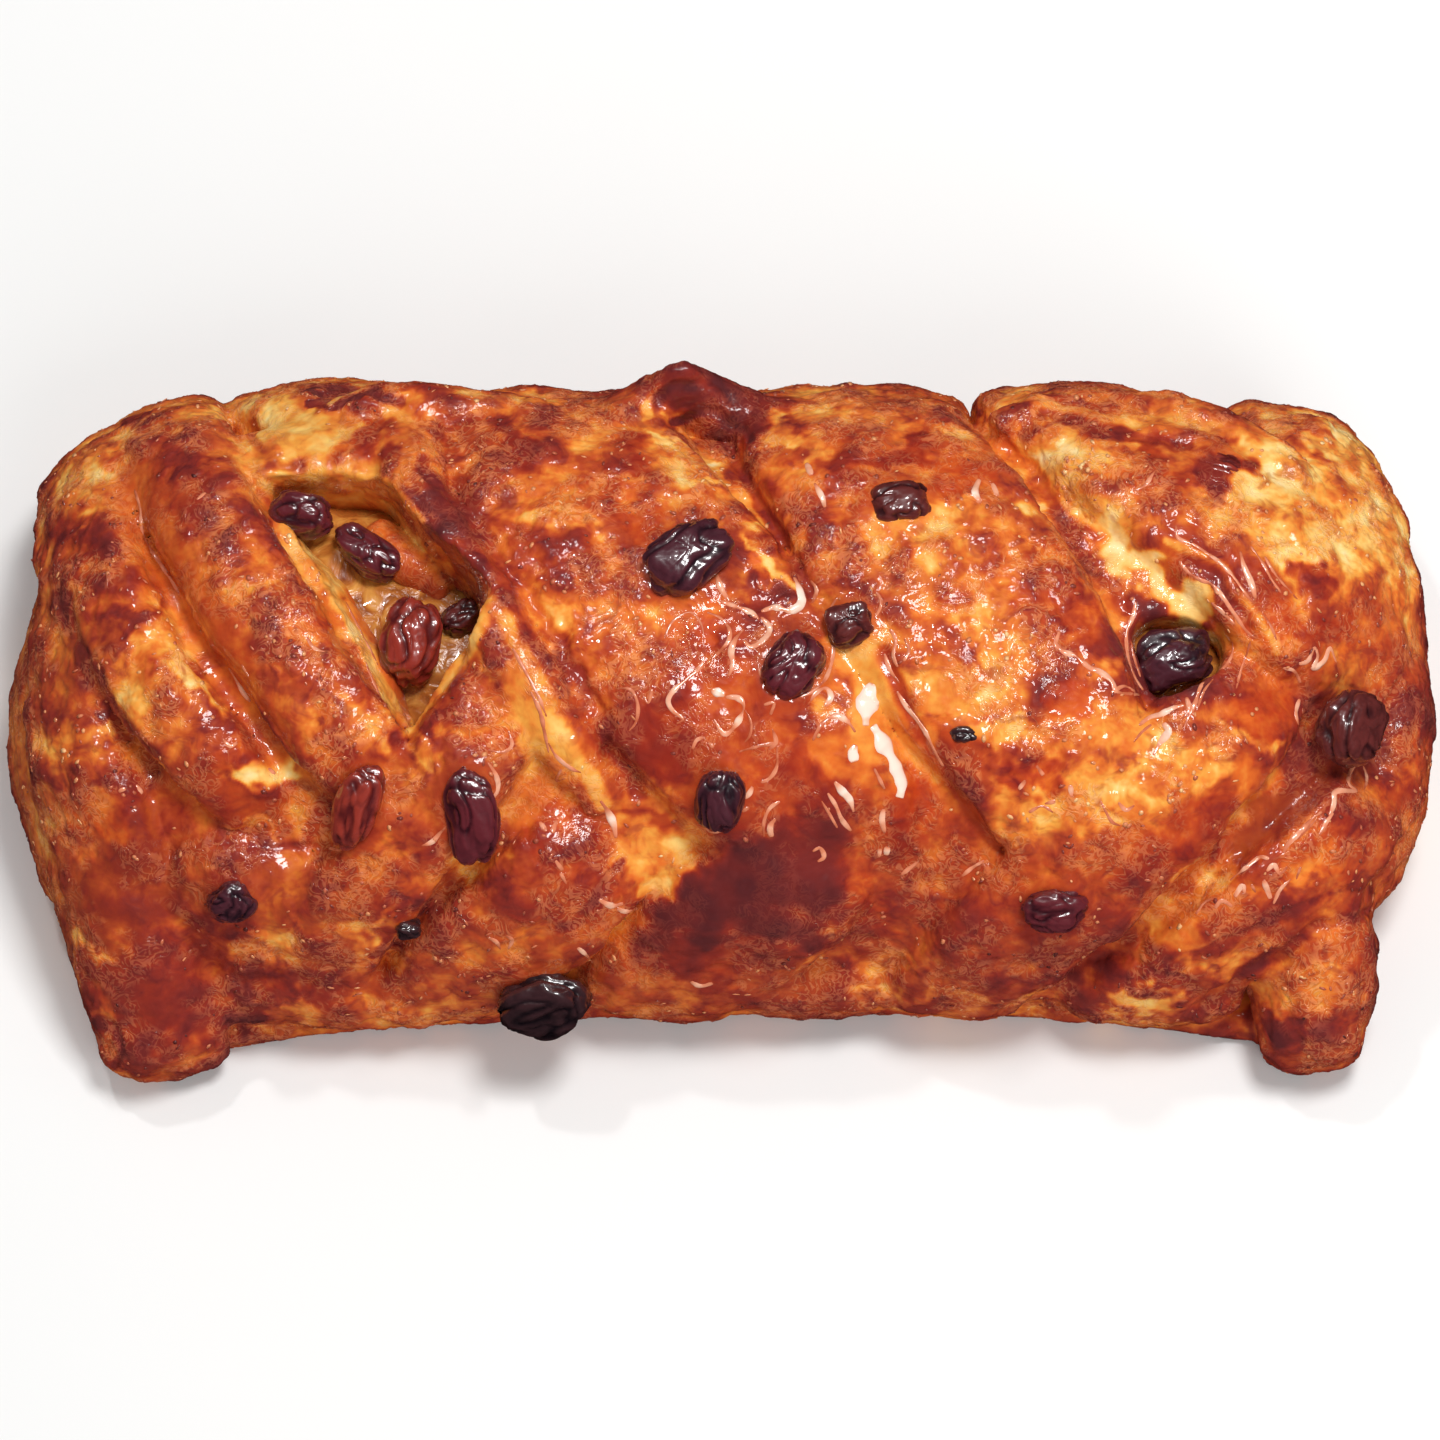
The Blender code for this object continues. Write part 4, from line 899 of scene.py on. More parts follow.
def fruit_rims(points, fruits):
    """1 where glaze climbs against a piece of fruit, falling off within a millimetre."""
    rim = np.zeros(len(points))
    for middle, axes, sizes, _ in fruits:
        local = (points - middle) @ axes.T / sizes
        radius = np.linalg.norm(local, axis=1)
        gap = (radius - 1) * np.linalg.norm(points - middle, axis=1) / np.maximum(radius, 0.3)
        rim = np.maximum(rim, np.exp(-(np.maximum(gap, 0) / RIM_REACH) ** 2))
    return rim


def shape_crust(body, fruits):
    """Settles glaze, folds and blisters the crust, and stores what lies where for its material."""
    data = body.data
    points, edges = read_points(data), read_rows(data.edges, "vertices", 2, np.int32)
    for _ in range(3):
        points += 0.6 * (neighbour_mean(points, edges) - points)
    points, normals, pool = settle_glaze(data, points, edges)
    broad = points.copy()
    for _ in range(BROAD_ROUNDS):
        broad = neighbour_mean(broad, edges)
    bulge = np.clip(np.sum((points - broad) * normals, axis=1) / MM, -1, 1)
    inner = ease(-reach_from_middle(points), -0.99, -0.93) * (points[:, 2] > OPENING_HEIGHT)

    wide = swell_noise(points, WIDE_SPACING, (7, 1, 2))
    swells = swell_noise(points, SWELL_SPACING)
    bumps = swell_noise(points, BUMP_SPACING, (1, 8, 3))
    tone = 0.56 + 0.34 * wide + 0.16 * bulge - 0.20 * inner
    hue = 0.15 + 0.8 * swell_noise(points, HUE_SPACING, (3, 3, 8))
    glaze = 0.25 + 0.6 * ease(pool, 0.05 * MM, 0.45 * MM) + 0.5 * inner
    looks = (tone, hue, glaze)
    seen = facing_plan(points, normals)
    places = plan_places(points)
    ragged = 30 * swell_field(points, 3.6 * MM, (2, 9, 4)) + 12 * swell_field(points, 1.1 * MM, (5, 1, 7))
    lay_marks(places + ragged, seen, looks)
    # Folds also paint shade into sunk creases and highlights onto raised rims
    fold_lift = lay_folds_with_painted_light(places + 8 * swell_field(points, 2.4 * MM, (6, 2, 2)), seen, looks)

    rim = fruit_rims(points, fruits)
    hue += (0.5 - hue) * 0.5 * rim
    glaze += (1 - glaze) * rim
    glaze[:] = np.clip(glaze, 0, 1)
    tone += 0.05 * bulge + (0.27 * bumps + 0.24 * swells) * (1 - 0.7 * glaze)

    rough = (points[:, 2] > FOOT_HEIGHT) * (1 - 0.72 * glaze)
    warped = points + np.column_stack([swells, bumps, swells * 0]) * 2.4 * MM
    flakes = 0.5 - np.abs(swell_noise(warped, FLAKE_SPACING, (4, 4, 9)))
    crackle = 0.5 - np.abs(swell_noise(warped, CRACKLE_SPACING, (8, 2, 5)))
    relief = 0.40 * swells + 0.42 * bumps + 0.34 * (flakes - 0.35) + 0.20 * (crackle - 0.35)
    points += normals * (relief * rough * MM + fold_lift + RIM_RISE * rim)[:, None]
    write_points(data, points)
    put_attribute(data, "tone", tone)
    put_attribute(data, "hue", np.clip(hue, -1, 1))
    put_attribute(data, "glaze", glaze)
    crumbly = (points[:, 2] > 2 * MM) * (tone < CHARRED_TONE) * np.clip(3 * bumps, 0, 1)
    put_attribute(data, "flaky", (1 - glaze) * crumbly)


def cut_slabs(body):
    """The crust cut across into slabs along its own edges, each with the whole crust's normals."""
    data = body.data
    points, normals = read_points(data), read_normals(data)
    quads = read_rows(data.loops, "vertex_index", 1, np.int32).reshape(-1, 4)
    middles = points[quads, 0].mean(axis=1)
    looks = {}
    for name in ("tone", "hue", "glaze"):
        looks[name] = read_rows(data.attributes[name].data, "value", 1)[:, 0]
    slabs = []
    for index in range(len(SLAB_BORDERS) - 1):
        low, high = SLAB_BORDERS[index] * MM, SLAB_BORDERS[index + 1] * MM
        kept = quads[(middles >= low) & (middles < high)]
        used, numbers = np.unique(kept, return_inverse=True)
        name = f"crust_slab_{index + 1}"
        mesh = bpy.data.meshes.new(name)
        mesh.from_pydata(points[used].tolist(), [], numbers.reshape(-1, 4).tolist())
        for label, values in looks.items():
            put_attribute(mesh, label, values[used])
        slabs.append((new_object(name, mesh), normals[used]))
    return slabs


def new_node(tree, kind, inputs=None, **settings):
    """A node with its settings, and its inputs, by name or place, set to values or linked to sockets."""
    node = tree.nodes.new(kind)
    for key, value in settings.items():
        setattr(node, key, value)
    for key, value in (inputs or {}).items():
        if isinstance(value, bpy.types.NodeSocket):
            tree.links.new(value, node.inputs[key])
        else:
            node.inputs[key].default_value = value
    return node


def add(tree, kind, inputs=None, **settings):
    return new_node(tree, "ShaderNode" + kind, inputs, **settings)


def stored(tree, name):
    """The value of one of the mesh's own attributes."""
    return add(tree, "Attribute", attribute_name=name).outputs["Fac"]


def calc(tree, operation, first, second=None, clamp=False):
    values = {0: first} if second is None else {0: first, 1: second}
    return add(tree, "Math", values, operation=operation, use_clamp=clamp).outputs[0]


def srgb(red, green, blue):
    """A colour given as 0 to 255 numbers, in the linear values that a shader takes."""
    parts = [c / 255 for c in (red, green, blue)]
    return tuple(p / 12.92 if p <= 0.04045 else ((p + 0.055) / 1.055) ** 2.4 for p in parts) + (1.0,)


def ramp(tree, value, stops):
    node = add(tree, "ValToRGB", {"Fac": value})
    elements = node.color_ramp.elements
    elements[0].position, elements[0].color = stops[0]
    elements[1].position, elements[1].color = stops[-1]
    for position, colour in stops[1:-1]:
        elements.new(position).color = colour
    return node.outputs["Color"]


def new_group(name, inputs, outputs):
    tree = bpy.data.node_groups.new(name, "ShaderNodeTree")
    for label, kind in inputs:
        tree.interface.new_socket(label, in_out="INPUT", socket_type="NodeSocket" + kind)
    for label, kind in outputs:
        tree.interface.new_socket(label, in_out="OUTPUT", socket_type="NodeSocket" + kind)
    return tree, tree.nodes.new("NodeGroupInput"), tree.nodes.new("NodeGroupOutput")


def noise_value(tree, vector, size_mm, detail, roughness=0.55, distortion=0.0):
    node = add(tree, "TexNoise", {"Vector": vector, "Scale": 1000.0 / size_mm, "Detail": detail,
                                  "Roughness": roughness, "Distortion": distortion})
    return node.outputs["Fac"]


def new_material(name, **values):
    made = bpy.data.materials.new(name)
    made.use_nodes = True
    shader = made.node_tree.nodes["Principled BSDF"]
    for key, value in values.items():
        shader.inputs[key.replace("_", " ")].default_value = value
    return made, made.node_tree, shader


def mottling(tree, mottle):
    """The mottling at each place of a piece."""
    where = add(tree, "TexCoord").outputs["Object"]
    return add(tree, "Group", {"Vector": where}, node_tree=mottle).outputs


# Places of the colour sockets of a Mix node
MIX_FIRST, MIX_SECOND, MIX_RESULT = 6, 7, 2


def mixed(tree, factor, first, second, blend="MIX"):
    colours = {"Factor": factor, MIX_FIRST: first, MIX_SECOND: second}
    return add(tree, "Mix", colours, data_type="RGBA", blend_type=blend).outputs[MIX_RESULT]


def add_bump(tree, height, distance, *sockets):
    bump = add(tree, "Bump", {"Height": height, "Distance": distance, "Strength": 1.0})
    for socket in sockets:
        tree.links.new(bump.outputs["Normal"], socket)


def step_up(tree, value, low, high):
    """0 below low, 1 above high, smooth between."""
    node = add(tree, "MapRange", {"Value": value, "From Min": low, "From Max": high},
               interpolation_type="SMOOTHSTEP")
    return node.outputs["Result"]


def mottle_group():
    """Baked mottling: spots, grain, and masks of pale strokes and dark flecks, all from 0 to 1."""
    names = ("Spots", "Grain", "Strokes", "Dark Flecks")
    outputs = [(name, "Float") for name in names]
    tree, given, put = new_group("baked_mottle", [("Vector", "Vector")], outputs)
    vector = given.outputs["Vector"]
    spots = noise_value(tree, vector, size_mm=2.6, detail=3.0, roughness=0.56, distortion=0.7)
    winding = noise_value(tree, vector, size_mm=1.5, detail=1.6, roughness=0.6, distortion=2.2)
    across = calc(tree, "ABSOLUTE", calc(tree, "SUBTRACT", winding, 0.5))
    patches = step_up(tree, noise_value(tree, vector, size_mm=5.5, detail=2.0, roughness=0.6), 0.46, 0.56)
    strokes = calc(tree, "MULTIPLY", calc(tree, "SUBTRACT", 1.0, step_up(tree, across, 0.02, 0.09)), patches)
    grain = noise_value(tree, vector, size_mm=0.90, detail=1.0, roughness=0.6)
    values = (spots, grain, strokes, step_up(tree, spots, 0.54, 0.68))
    for name, value in zip(names, values):
        tree.links.new(value, put.inputs[name])
    return tree


# Colours from pale to charred: of the crust, the strokes and flecks in it, flakes, threads (pale as painted
# highlight), filling
CRUST_STOPS = [
    (0.00, srgb(250, 222, 162)), (0.14, srgb(247, 198, 112)), (0.28, srgb(238, 158, 66)),
    (0.42, srgb(218, 114, 44)), (0.56, srgb(182, 74, 36)), (0.70, srgb(146, 48, 34)),
    (0.84, srgb(122, 42, 38)), (1.00, srgb(90, 36, 38)),
]
STROKE_STOPS = [(0.0, srgb(253, 220, 156)), (0.45, srgb(236, 150, 92)), (0.9, srgb(186, 92, 72))]
FLECK_STOPS = [(0.0, srgb(172, 72, 46)), (0.5, srgb(116, 32, 42)), (0.9, srgb(60, 20, 32))]
FLAKE_STOPS = [
    (0.00, srgb(252, 216, 150)), (0.35, srgb(236, 160, 104)), (0.60, srgb(200, 102, 70)),
    (0.80, srgb(138, 56, 46)), (1.00, srgb(70, 28, 30)),
]
HIGHLIGHT_THREAD_STOPS = [
    (0.15, srgb(186, 88, 56)), (0.45, srgb(226, 138, 102)), (0.75, srgb(244, 188, 158)),
    (1.10, srgb(254, 226, 208)),
]
FILLING_STOPS = [(0.30, srgb(128, 62, 30)), (0.50, srgb(190, 112, 46)), (0.70, srgb(230, 164, 78))]
RED_TINT = (1.04, 0.72, 0.60, 1)
OLIVE_TINT = (0.90, 1.00, 0.84, 1)
# Half width of a thread that is thick enough to be painted pale as a highlight
PALE_HIGHLIGHT_THREAD = MM / 2.1

# How much of the mottling shows in the tone of dry crust, how densely strokes and flecks cover it,
# how high each stands in mm, and how much of it all a full glaze hides
SPOT_TONE, GRAIN_TONE = 0.58, 0.26
STROKE_COVER, FLECK_COVER = 0.55, 0.42
SPOT_HEIGHT, GRAIN_HEIGHT, STROKE_HEIGHT = 0.24, 0.12, 0.05
GLAZE_HIDES = 0.66


def part_way(tree, value, start, end, low=0.0, high=1.0):
    """From start to end while value goes from low to high."""
    return add(tree, "MapRange", {"Value": value, "From Min": low, "From Max": high,
                                  "To Min": start, "To Max": end}).outputs["Result"]


def crust_colour(tree, tone, hue, grain, dry, spots):
    """The crust's colour: its tone's, tinted by its hue, with strokes and flecks where it is dry."""
    colour = ramp(tree, tone, CRUST_STOPS)
    swing = calc(tree, "ADD", hue, grain)
    for sign, tint in ((1.0, RED_TINT), (-1.0, OLIVE_TINT)):
        colour = mixed(tree, calc(tree, "MULTIPLY", swing, sign, clamp=True), colour, tint, "MULTIPLY")
    layers = ("Strokes", STROKE_COVER, STROKE_STOPS), ("Dark Flecks", FLECK_COVER, FLECK_STOPS)
    for name, cover, stops in layers:
        share = calc(tree, "MULTIPLY", spots[name], calc(tree, "MULTIPLY", dry, cover))
        colour = mixed(tree, share, colour, ramp(tree, tone, stops))
    return colour


def crust_material(mottle):
    """Baked dough, mottled where it is dry and smooth and shiny where glaze lies on it."""
    made, tree, shader = new_material("glazed_crust", Coat_Roughness=0.07, Coat_IOR=1.46)
    shader.inputs["Specular IOR Level"].default_value = 0.12
    baked, hue, glaze = stored(tree, "tone"), stored(tree, "hue"), stored(tree, "glaze")
    spots = mottling(tree, mottle)
    dry = calc(tree, "SUBTRACT", 1.0, calc(tree, "MULTIPLY", glaze, GLAZE_HIDES))
    dry = calc(tree, "MULTIPLY", dry, part_way(tree, baked, 1.0, 0.35, 0.74, 0.92))
    speck = calc(tree, "SUBTRACT", spots["Spots"], 0.5)
    grain = calc(tree, "SUBTRACT", spots["Grain"], 0.5)
    mottle_change = calc(tree, "MULTIPLY", speck, SPOT_TONE)
    change = calc(tree, "ADD", mottle_change, calc(tree, "MULTIPLY", grain, GRAIN_TONE))
    tone = calc(tree, "ADD", baked, calc(tree, "MULTIPLY", change, dry))
    tree.links.new(crust_colour(tree, tone, hue, grain, dry, spots), shader.inputs["Base Color"])
    tree.links.new(part_way(tree, glaze, 0.50, 0.35), shader.inputs["Roughness"])
    tree.links.new(part_way(tree, glaze, 0.55, 1.0), shader.inputs["Coat Weight"])
    height = calc(tree, "MULTIPLY", spots["Spots"], SPOT_HEIGHT)
    for name, rise in (("Grain", GRAIN_HEIGHT), ("Strokes", STROKE_HEIGHT)):
        height = calc(tree, "ADD", height, calc(tree, "MULTIPLY", spots[name], rise))
    height = calc(tree, "MULTIPLY", height, dry)
    add_bump(tree, height, MM, shader.inputs["Normal"], shader.inputs["Coat Normal"])
    return made


def flake_material():
    """Loose flakes of pastry, a little paler or darker than the crust they lie on."""
    made, tree, shader = new_material("pastry_flakes", Roughness=0.40, Coat_Weight=0.8, Coat_Roughness=0.10)
    paler = calc(tree, "MULTIPLY", calc(tree, "SUBTRACT", stored(tree, "tint"), 0.55), 0.5)
    tone = calc(tree, "ADD", stored(tree, "tone"), paler)
    tree.links.new(ramp(tree, tone, FLAKE_STOPS), shader.inputs["Base Color"])
    return made


def highlight_thread_material(mottle):
    """Glaze in threads and pools, paler where it is thick: the pale colour is a painted highlight."""
    made, tree, shader = new_material("painted_highlight_glaze", Roughness=0.22, Coat_Weight=1.0, Coat_Roughness=0.06)
    spots = mottling(tree, mottle)
    patchy = calc(tree, "MULTIPLY", calc(tree, "SUBTRACT", spots["Spots"], 0.5), 0.9)
    # Thicker threads are painted paler, as a painted highlight
    tone = calc(tree, "ADD", calc(tree, "MULTIPLY", stored(tree, "thick"), 1 / PALE_HIGHLIGHT_THREAD), patchy)
    tree.links.new(ramp(tree, tone, HIGHLIGHT_THREAD_STOPS), shader.inputs["Base Color"])
    return made


# Colours in a raisin's folds, darker there as painted shade, and on its ridges
RAISIN_COLOURS_AND_FOLD_SHADE = {
    "dark": (srgb(34, 14, 24), srgb(78, 34, 44)),
    "plum": (srgb(50, 12, 22), srgb(98, 32, 40)),
    "black": (srgb(24, 14, 20), srgb(58, 32, 36)),
    "red": (srgb(84, 20, 22), srgb(146, 48, 36)),
    "brown": (srgb(50, 16, 20), srgb(98, 38, 36)),
}


def raisin_material(finish, mottle):
    """Wrinkled glossy skin, its colour darker in its folds as painted shade."""
    dark, light = RAISIN_COLOURS_AND_FOLD_SHADE[finish]
    made, tree, shader = new_material("raisin_" + finish, Roughness=0.34, Coat_Weight=1.0,
                                      Coat_Roughness=0.10, Coat_IOR=1.5)
    spots = mottling(tree, mottle)
    tone = calc(tree, "ADD", stored(tree, "fold"), calc(tree, "SUBTRACT", spots["Spots"], 0.5))
    # Colour runs from dark in the folds, painted shade, to light on the ridges
    tree.links.new(ramp(tree, tone, [(0.15, dark), (0.95, light)]), shader.inputs["Base Color"])
    add_bump(tree, spots["Grain"], 0.1 * MM, shader.inputs["Normal"], shader.inputs["Coat Normal"])
    return made


def filling_material(mottle):
    """Wet, lumpy filling."""
    made, tree, shader = new_material("fruit_filling", Roughness=0.25, Coat_Weight=1.0,
                                      Coat_Roughness=0.05, Coat_IOR=1.48)
    spots = mottling(tree, mottle)
    tree.links.new(ramp(tree, spots["Spots"], FILLING_STOPS), shader.inputs["Base Color"])
    add_bump(tree, spots["Spots"], 0.5 * MM, shader.inputs["Normal"])
    return made


def surface_group(name, inputs):
    """An empty geometry group with a geometry in and out and the named inputs."""
    tree = bpy.data.node_groups.new(name, "GeometryNodeTree")
    tree.interface.new_socket("Geometry", in_out="INPUT", socket_type="NodeSocketGeometry")
    for label, kind, value in inputs:
        socket = tree.interface.new_socket(label, in_out="INPUT", socket_type="NodeSocket" + kind)
        if value is not None:
            socket.default_value = value
    tree.interface.new_socket("Geometry", in_out="OUTPUT", socket_type="NodeSocketGeometry")
    return tree, tree.nodes.new("NodeGroupInput").outputs, tree.nodes.new("NodeGroupOutput").inputs


def finish_surface(tree, geometry, given, put):
    smooth = new_node(tree, "GeometryNodeSetShadeSmooth", {"Geometry": geometry})
    real = new_node(tree, "GeometryNodeRealizeInstances", {"Geometry": smooth.outputs[0]})
    coated = new_node(tree, "GeometryNodeSetMaterial",
                      {"Geometry": real.outputs[0], "Material": given["Material"]})
    tree.links.new(coated.outputs[0], put["Geometry"])


# Places of the least, the most and the result among a Random Value node's sockets
RANDOM_SOCKETS = {"FLOAT_VECTOR": (0, 1, 0), "FLOAT": (2, 3, 1)}


def random_between(tree, low, high, seed, kind="FLOAT"):
    least, most, result = RANDOM_SOCKETS[kind]
    inputs = {"Seed": seed, least: low, most: high}
    return new_node(tree, "FunctionNodeRandomValue", inputs, data_type=kind).outputs[result]


def flake_group():
    """Scatters thin flakes over a crust, thickest where its flaky attribute is high."""
    tree, given, put = surface_group("loose_flakes", [
        ("Flakes per mm2", "Float", 0.8), ("Smallest mm", "Vector", (0.14, 0.10, 0.03)),
        ("Largest mm", "Vector", (0.46, 0.30, 0.08)), ("Seed", "Int", 1), ("Material", "Material", None)])
    flaky = new_node(tree, "GeometryNodeInputNamedAttribute", {"Name": "flaky"}, data_type="FLOAT")
    thickly = new_node(tree, "ShaderNodeMath", {0: given["Flakes per mm2"], 1: 1e6}, operation="MULTIPLY")
    density = new_node(tree, "ShaderNodeMath", {0: flaky.outputs[0], 1: thickly.outputs[0]},
                       operation="MULTIPLY")
    spread = new_node(tree, "GeometryNodeDistributePointsOnFaces",
                      {"Mesh": given["Geometry"], "Density": density.outputs[0], "Seed": given["Seed"]})
    ball = new_node(tree, "GeometryNodeMeshIcoSphere", {"Radius": 1.0, "Subdivisions": 1})
    spin = random_between(tree, (-0.35, -0.35, -3.14), (0.35, 0.35, 3.14), 3, "FLOAT_VECTOR")
    spun = new_node(tree, "FunctionNodeEulerToRotation", {"Euler": spin})
    turned = new_node(tree, "FunctionNodeRotateRotation",
                      {"Rotation": spread.outputs["Rotation"], "Rotate By": spun.outputs[0]},
                      rotation_space="LOCAL")
    scales = random_between(tree, given["Smallest mm"], given["Largest mm"], 5, "FLOAT_VECTOR")
    metres = new_node(tree, "ShaderNodeVectorMath", {0: scales, "Scale": MM}, operation="SCALE")
    placed = new_node(tree, "GeometryNodeInstanceOnPoints",
                      {"Points": spread.outputs["Points"], "Instance": ball.outputs["Mesh"],
                       "Rotation": turned.outputs[0], "Scale": metres.outputs[0]})
    tinted = new_node(tree, "GeometryNodeStoreNamedAttribute",
                      {"Geometry": placed.outputs[0], "Name": "tint",
                       "Value": random_between(tree, 0.0, 1.0, 9)}, data_type="FLOAT", domain="INSTANCE")
    finish_surface(tree, tinted.outputs[0], given, put)
    return tree


def thread_group():
    """Drops lines of points onto a crust along the plan's view and gives each its thickness."""
    tree, given, put = surface_group("glaze_threads", [
        ("Crust", "Object", None), ("Eye", "Vector", (0, 0, 1)), ("Raised share", "Float", -0.3),
        ("Flattened share", "Float", 0.6), ("Sides", "Int", 10), ("Material", "Material", None)])
    crust = new_node(tree, "GeometryNodeObjectInfo", {"Object": given["Crust"]}, transform_space="RELATIVE")
    here = new_node(tree, "GeometryNodeInputPosition")
    sight = new_node(tree, "ShaderNodeVectorMath", {0: here.outputs[0], 1: given["Eye"]},
                     operation="SUBTRACT")
    hit = new_node(tree, "GeometryNodeRaycast",
                   {"Target Geometry": crust.outputs["Geometry"], "Source Position": here.outputs[0],
                    "Ray Direction": sight.outputs[0], "Ray Length": 1.0})
    thick = new_node(tree, "GeometryNodeInputNamedAttribute", {"Name": "thick"}, data_type="FLOAT")
    raised = new_node(tree, "ShaderNodeMath", {0: thick.outputs[0], 1: given["Raised share"]},
                      operation="MULTIPLY")
    lifted = new_node(tree, "ShaderNodeVectorMath",
                      {0: hit.outputs["Hit Normal"], "Scale": raised.outputs[0]}, operation="SCALE")
    moved = new_node(tree, "GeometryNodeSetPosition",
                     {"Geometry": given["Geometry"], "Position": hit.outputs["Hit Position"],
                      "Offset": lifted.outputs[0]})
    blurred = new_node(tree, "GeometryNodeBlurAttribute", {"Iterations": 2}, data_type="FLOAT_VECTOR")
    tree.links.new(here.outputs[0], next(item for item in blurred.inputs if item.enabled))
    eased = new_node(tree, "GeometryNodeSetPosition",
                     {"Geometry": moved.outputs[0],
                      "Position": next(item for item in blurred.outputs if item.enabled)})
    lines = new_node(tree, "GeometryNodeMeshToCurve", {"Mesh": eased.outputs[0]})
    round_section = new_node(tree, "GeometryNodeCurvePrimitiveCircle",
                             {"Resolution": given["Sides"], "Radius": 1.0})
    tubes = new_node(tree, "GeometryNodeCurveToMesh",
                     {"Curve": lines.outputs[0], "Profile Curve": round_section.outputs["Curve"],
                      "Scale": thick.outputs[0], "Fill Caps": True})
    nearest = new_node(tree, "GeometryNodeProximity", {0: crust.outputs["Geometry"]})
    toward = new_node(tree, "ShaderNodeVectorMath", {0: nearest.outputs["Position"], 1: here.outputs[0]},
                      operation="SUBTRACT")
    pressed = new_node(tree, "ShaderNodeVectorMath",
                       {0: toward.outputs[0], "Scale": given["Flattened share"]}, operation="SCALE")
    flat = new_node(tree, "GeometryNodeSetPosition",
                    {"Geometry": tubes.outputs[0], "Offset": pressed.outputs[0]})
    finish_surface(tree, flat.outputs[0], given, put)
    return tree


def grown_piece(name, data, group, values):
    """A plain mesh object made by a geometry group run on data, with the group's named inputs set."""
    carrier = new_object(name + "_carrier", data)
    modifier = carrier.modifiers.new(name, "NODES")
    modifier.node_group = group
    for item in group.interface.items_tree:
        if item.in_out == "INPUT" and item.name in values:
            modifier[item.identifier] = values[item.name]
    carrier.update_tag()
    graph = bpy.context.evaluated_depsgraph_get()
    grown = bpy.data.meshes.new_from_object(carrier.evaluated_get(graph))
    carrier.modifiers.clear()
    bpy.data.objects.remove(carrier)
    return new_object(name, grown)


def thread_lines():
    """The threads as lines of points above the danish, thinner towards their ends."""
    points, edges, thick = [], [], []
    for half, *line in HIGHLIGHT_THREADS:
        row = smooth_row(line, 8 * len(line))
        share = np.linspace(0, math.pi, len(row))
        first = len(points)
        points += [plan_start(across, down) for across, down in row]
        edges += [(first + i, first + i + 1) for i in range(len(row) - 1)]
        uneven = 1 + 0.8 * swell_noise(np.column_stack([row, row[:, 0]]), 15.0)
        thick += list(half * THREAD_STEP * uneven * (0.25 + 0.75 * np.sqrt(np.abs(np.sin(share)))))
    data = bpy.data.meshes.new("thread_lines")
    data.from_pydata(points, edges, [])
    put_attribute(data, "thick", np.array(thick))
    return data


def finish_piece(obj, made, slot_name, *nodes):
    """Moves a finished piece to the danish's place, gives it its material and ties it to the frame."""
    obj.data.transform(Matrix.Translation(TO_ORIGIN))
    obj.data.materials.clear()
    obj.data.materials.append(made)
    obj.data.shade_smooth()
    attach(obj, "root")
    if nodes:
        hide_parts(*nodes)


def make_raisin(name, place, seed, segments=72, rings=48):
    """A dried grape with folds along it; how deep each point lies in a fold is stored for the colour, which
    is darker in the folds as painted shade.
    """
    middle, axes, sizes, _ = place
    mesh = bmesh.new()
    bmesh.ops.create_uvsphere(mesh, u_segments=segments, v_segments=rings, radius=1.0)
    data = bpy.data.meshes.new(name)
    mesh.to_mesh(data)
    mesh.free()
    ball = read_points(data)
    origin = (seed * 3.7, seed * 1.3, seed * 2.1)
    bend = swell_noise(ball, 1.0, origin)
    stretched = ball * [0.75, 1.7, 1.7] + bend[:, None] * 0.9
    folds = ease(np.abs(swell_noise(stretched, 1.0, origin)), 0.0, 0.26)
    fine = ease(np.abs(swell_noise(ball * [2.0, 4.2, 4.2] + bend[:, None], 1.0, origin)), 0.0, 0.30)
    dents = swell_noise(ball, 0.8, origin[::-1])
    depth = folds * 0.72 + fine * 0.28
    size = 1 - WRINKLE_DEPTH * (1 - depth) + DENT_DEPTH * dents
    square = (np.abs(ball) ** RAISIN_POWER).sum(axis=1, keepdims=True) ** (-1 / RAISIN_POWER)
    write_points(data, middle + (ball * square * RAISIN_FILL * sizes * size[:, None]) @ axes)
    put_attribute(data, "fold", depth)
    return new_object(name, data)


def speck_places():
    """Middle, axes, half sizes and finish of every crumb of fruit, half sunk in the flaps."""
    places = []
    for x, share, length, width in SPECKS:
        normal = skin_normal(x * MM, share)
        middle = skin(x * MM, share) + normal * FLAP_THICKNESS
        ahead = np.array([1.0, 0, 0]) - normal * normal[0]
        ahead /= np.linalg.norm(ahead)
        axes = np.array([ahead, np.cross(normal, ahead), normal])
        places.append((middle, axes, np.array([length, width, SPECK_HEIGHT]) * MM, "black"))
    return places


def make_filling():
    """The filling as one roll, lumpy all over."""
    obj = make_roll("fruit_filling", FILLING_STATIONS, None, count=60, steps=150, lumps=0.0)
    data = obj.data
    points, normals = read_points(data), read_normals(data)
    lumps = swell_noise(points, 4.5 * MM, (2, 6, 1)) + 0.4 * swell_noise(points, 1.8 * MM, (5, 5, 1))
    write_points(data, points + normals * (lumps * 0.9 * MM)[:, None])
    return obj


def aim(obj, place, target):
    obj.location = place
    obj.rotation_mode = "QUATERNION"
    obj.rotation_quaternion = (Vector(target) - Vector(place)).to_track_quat("-Z", "Y")


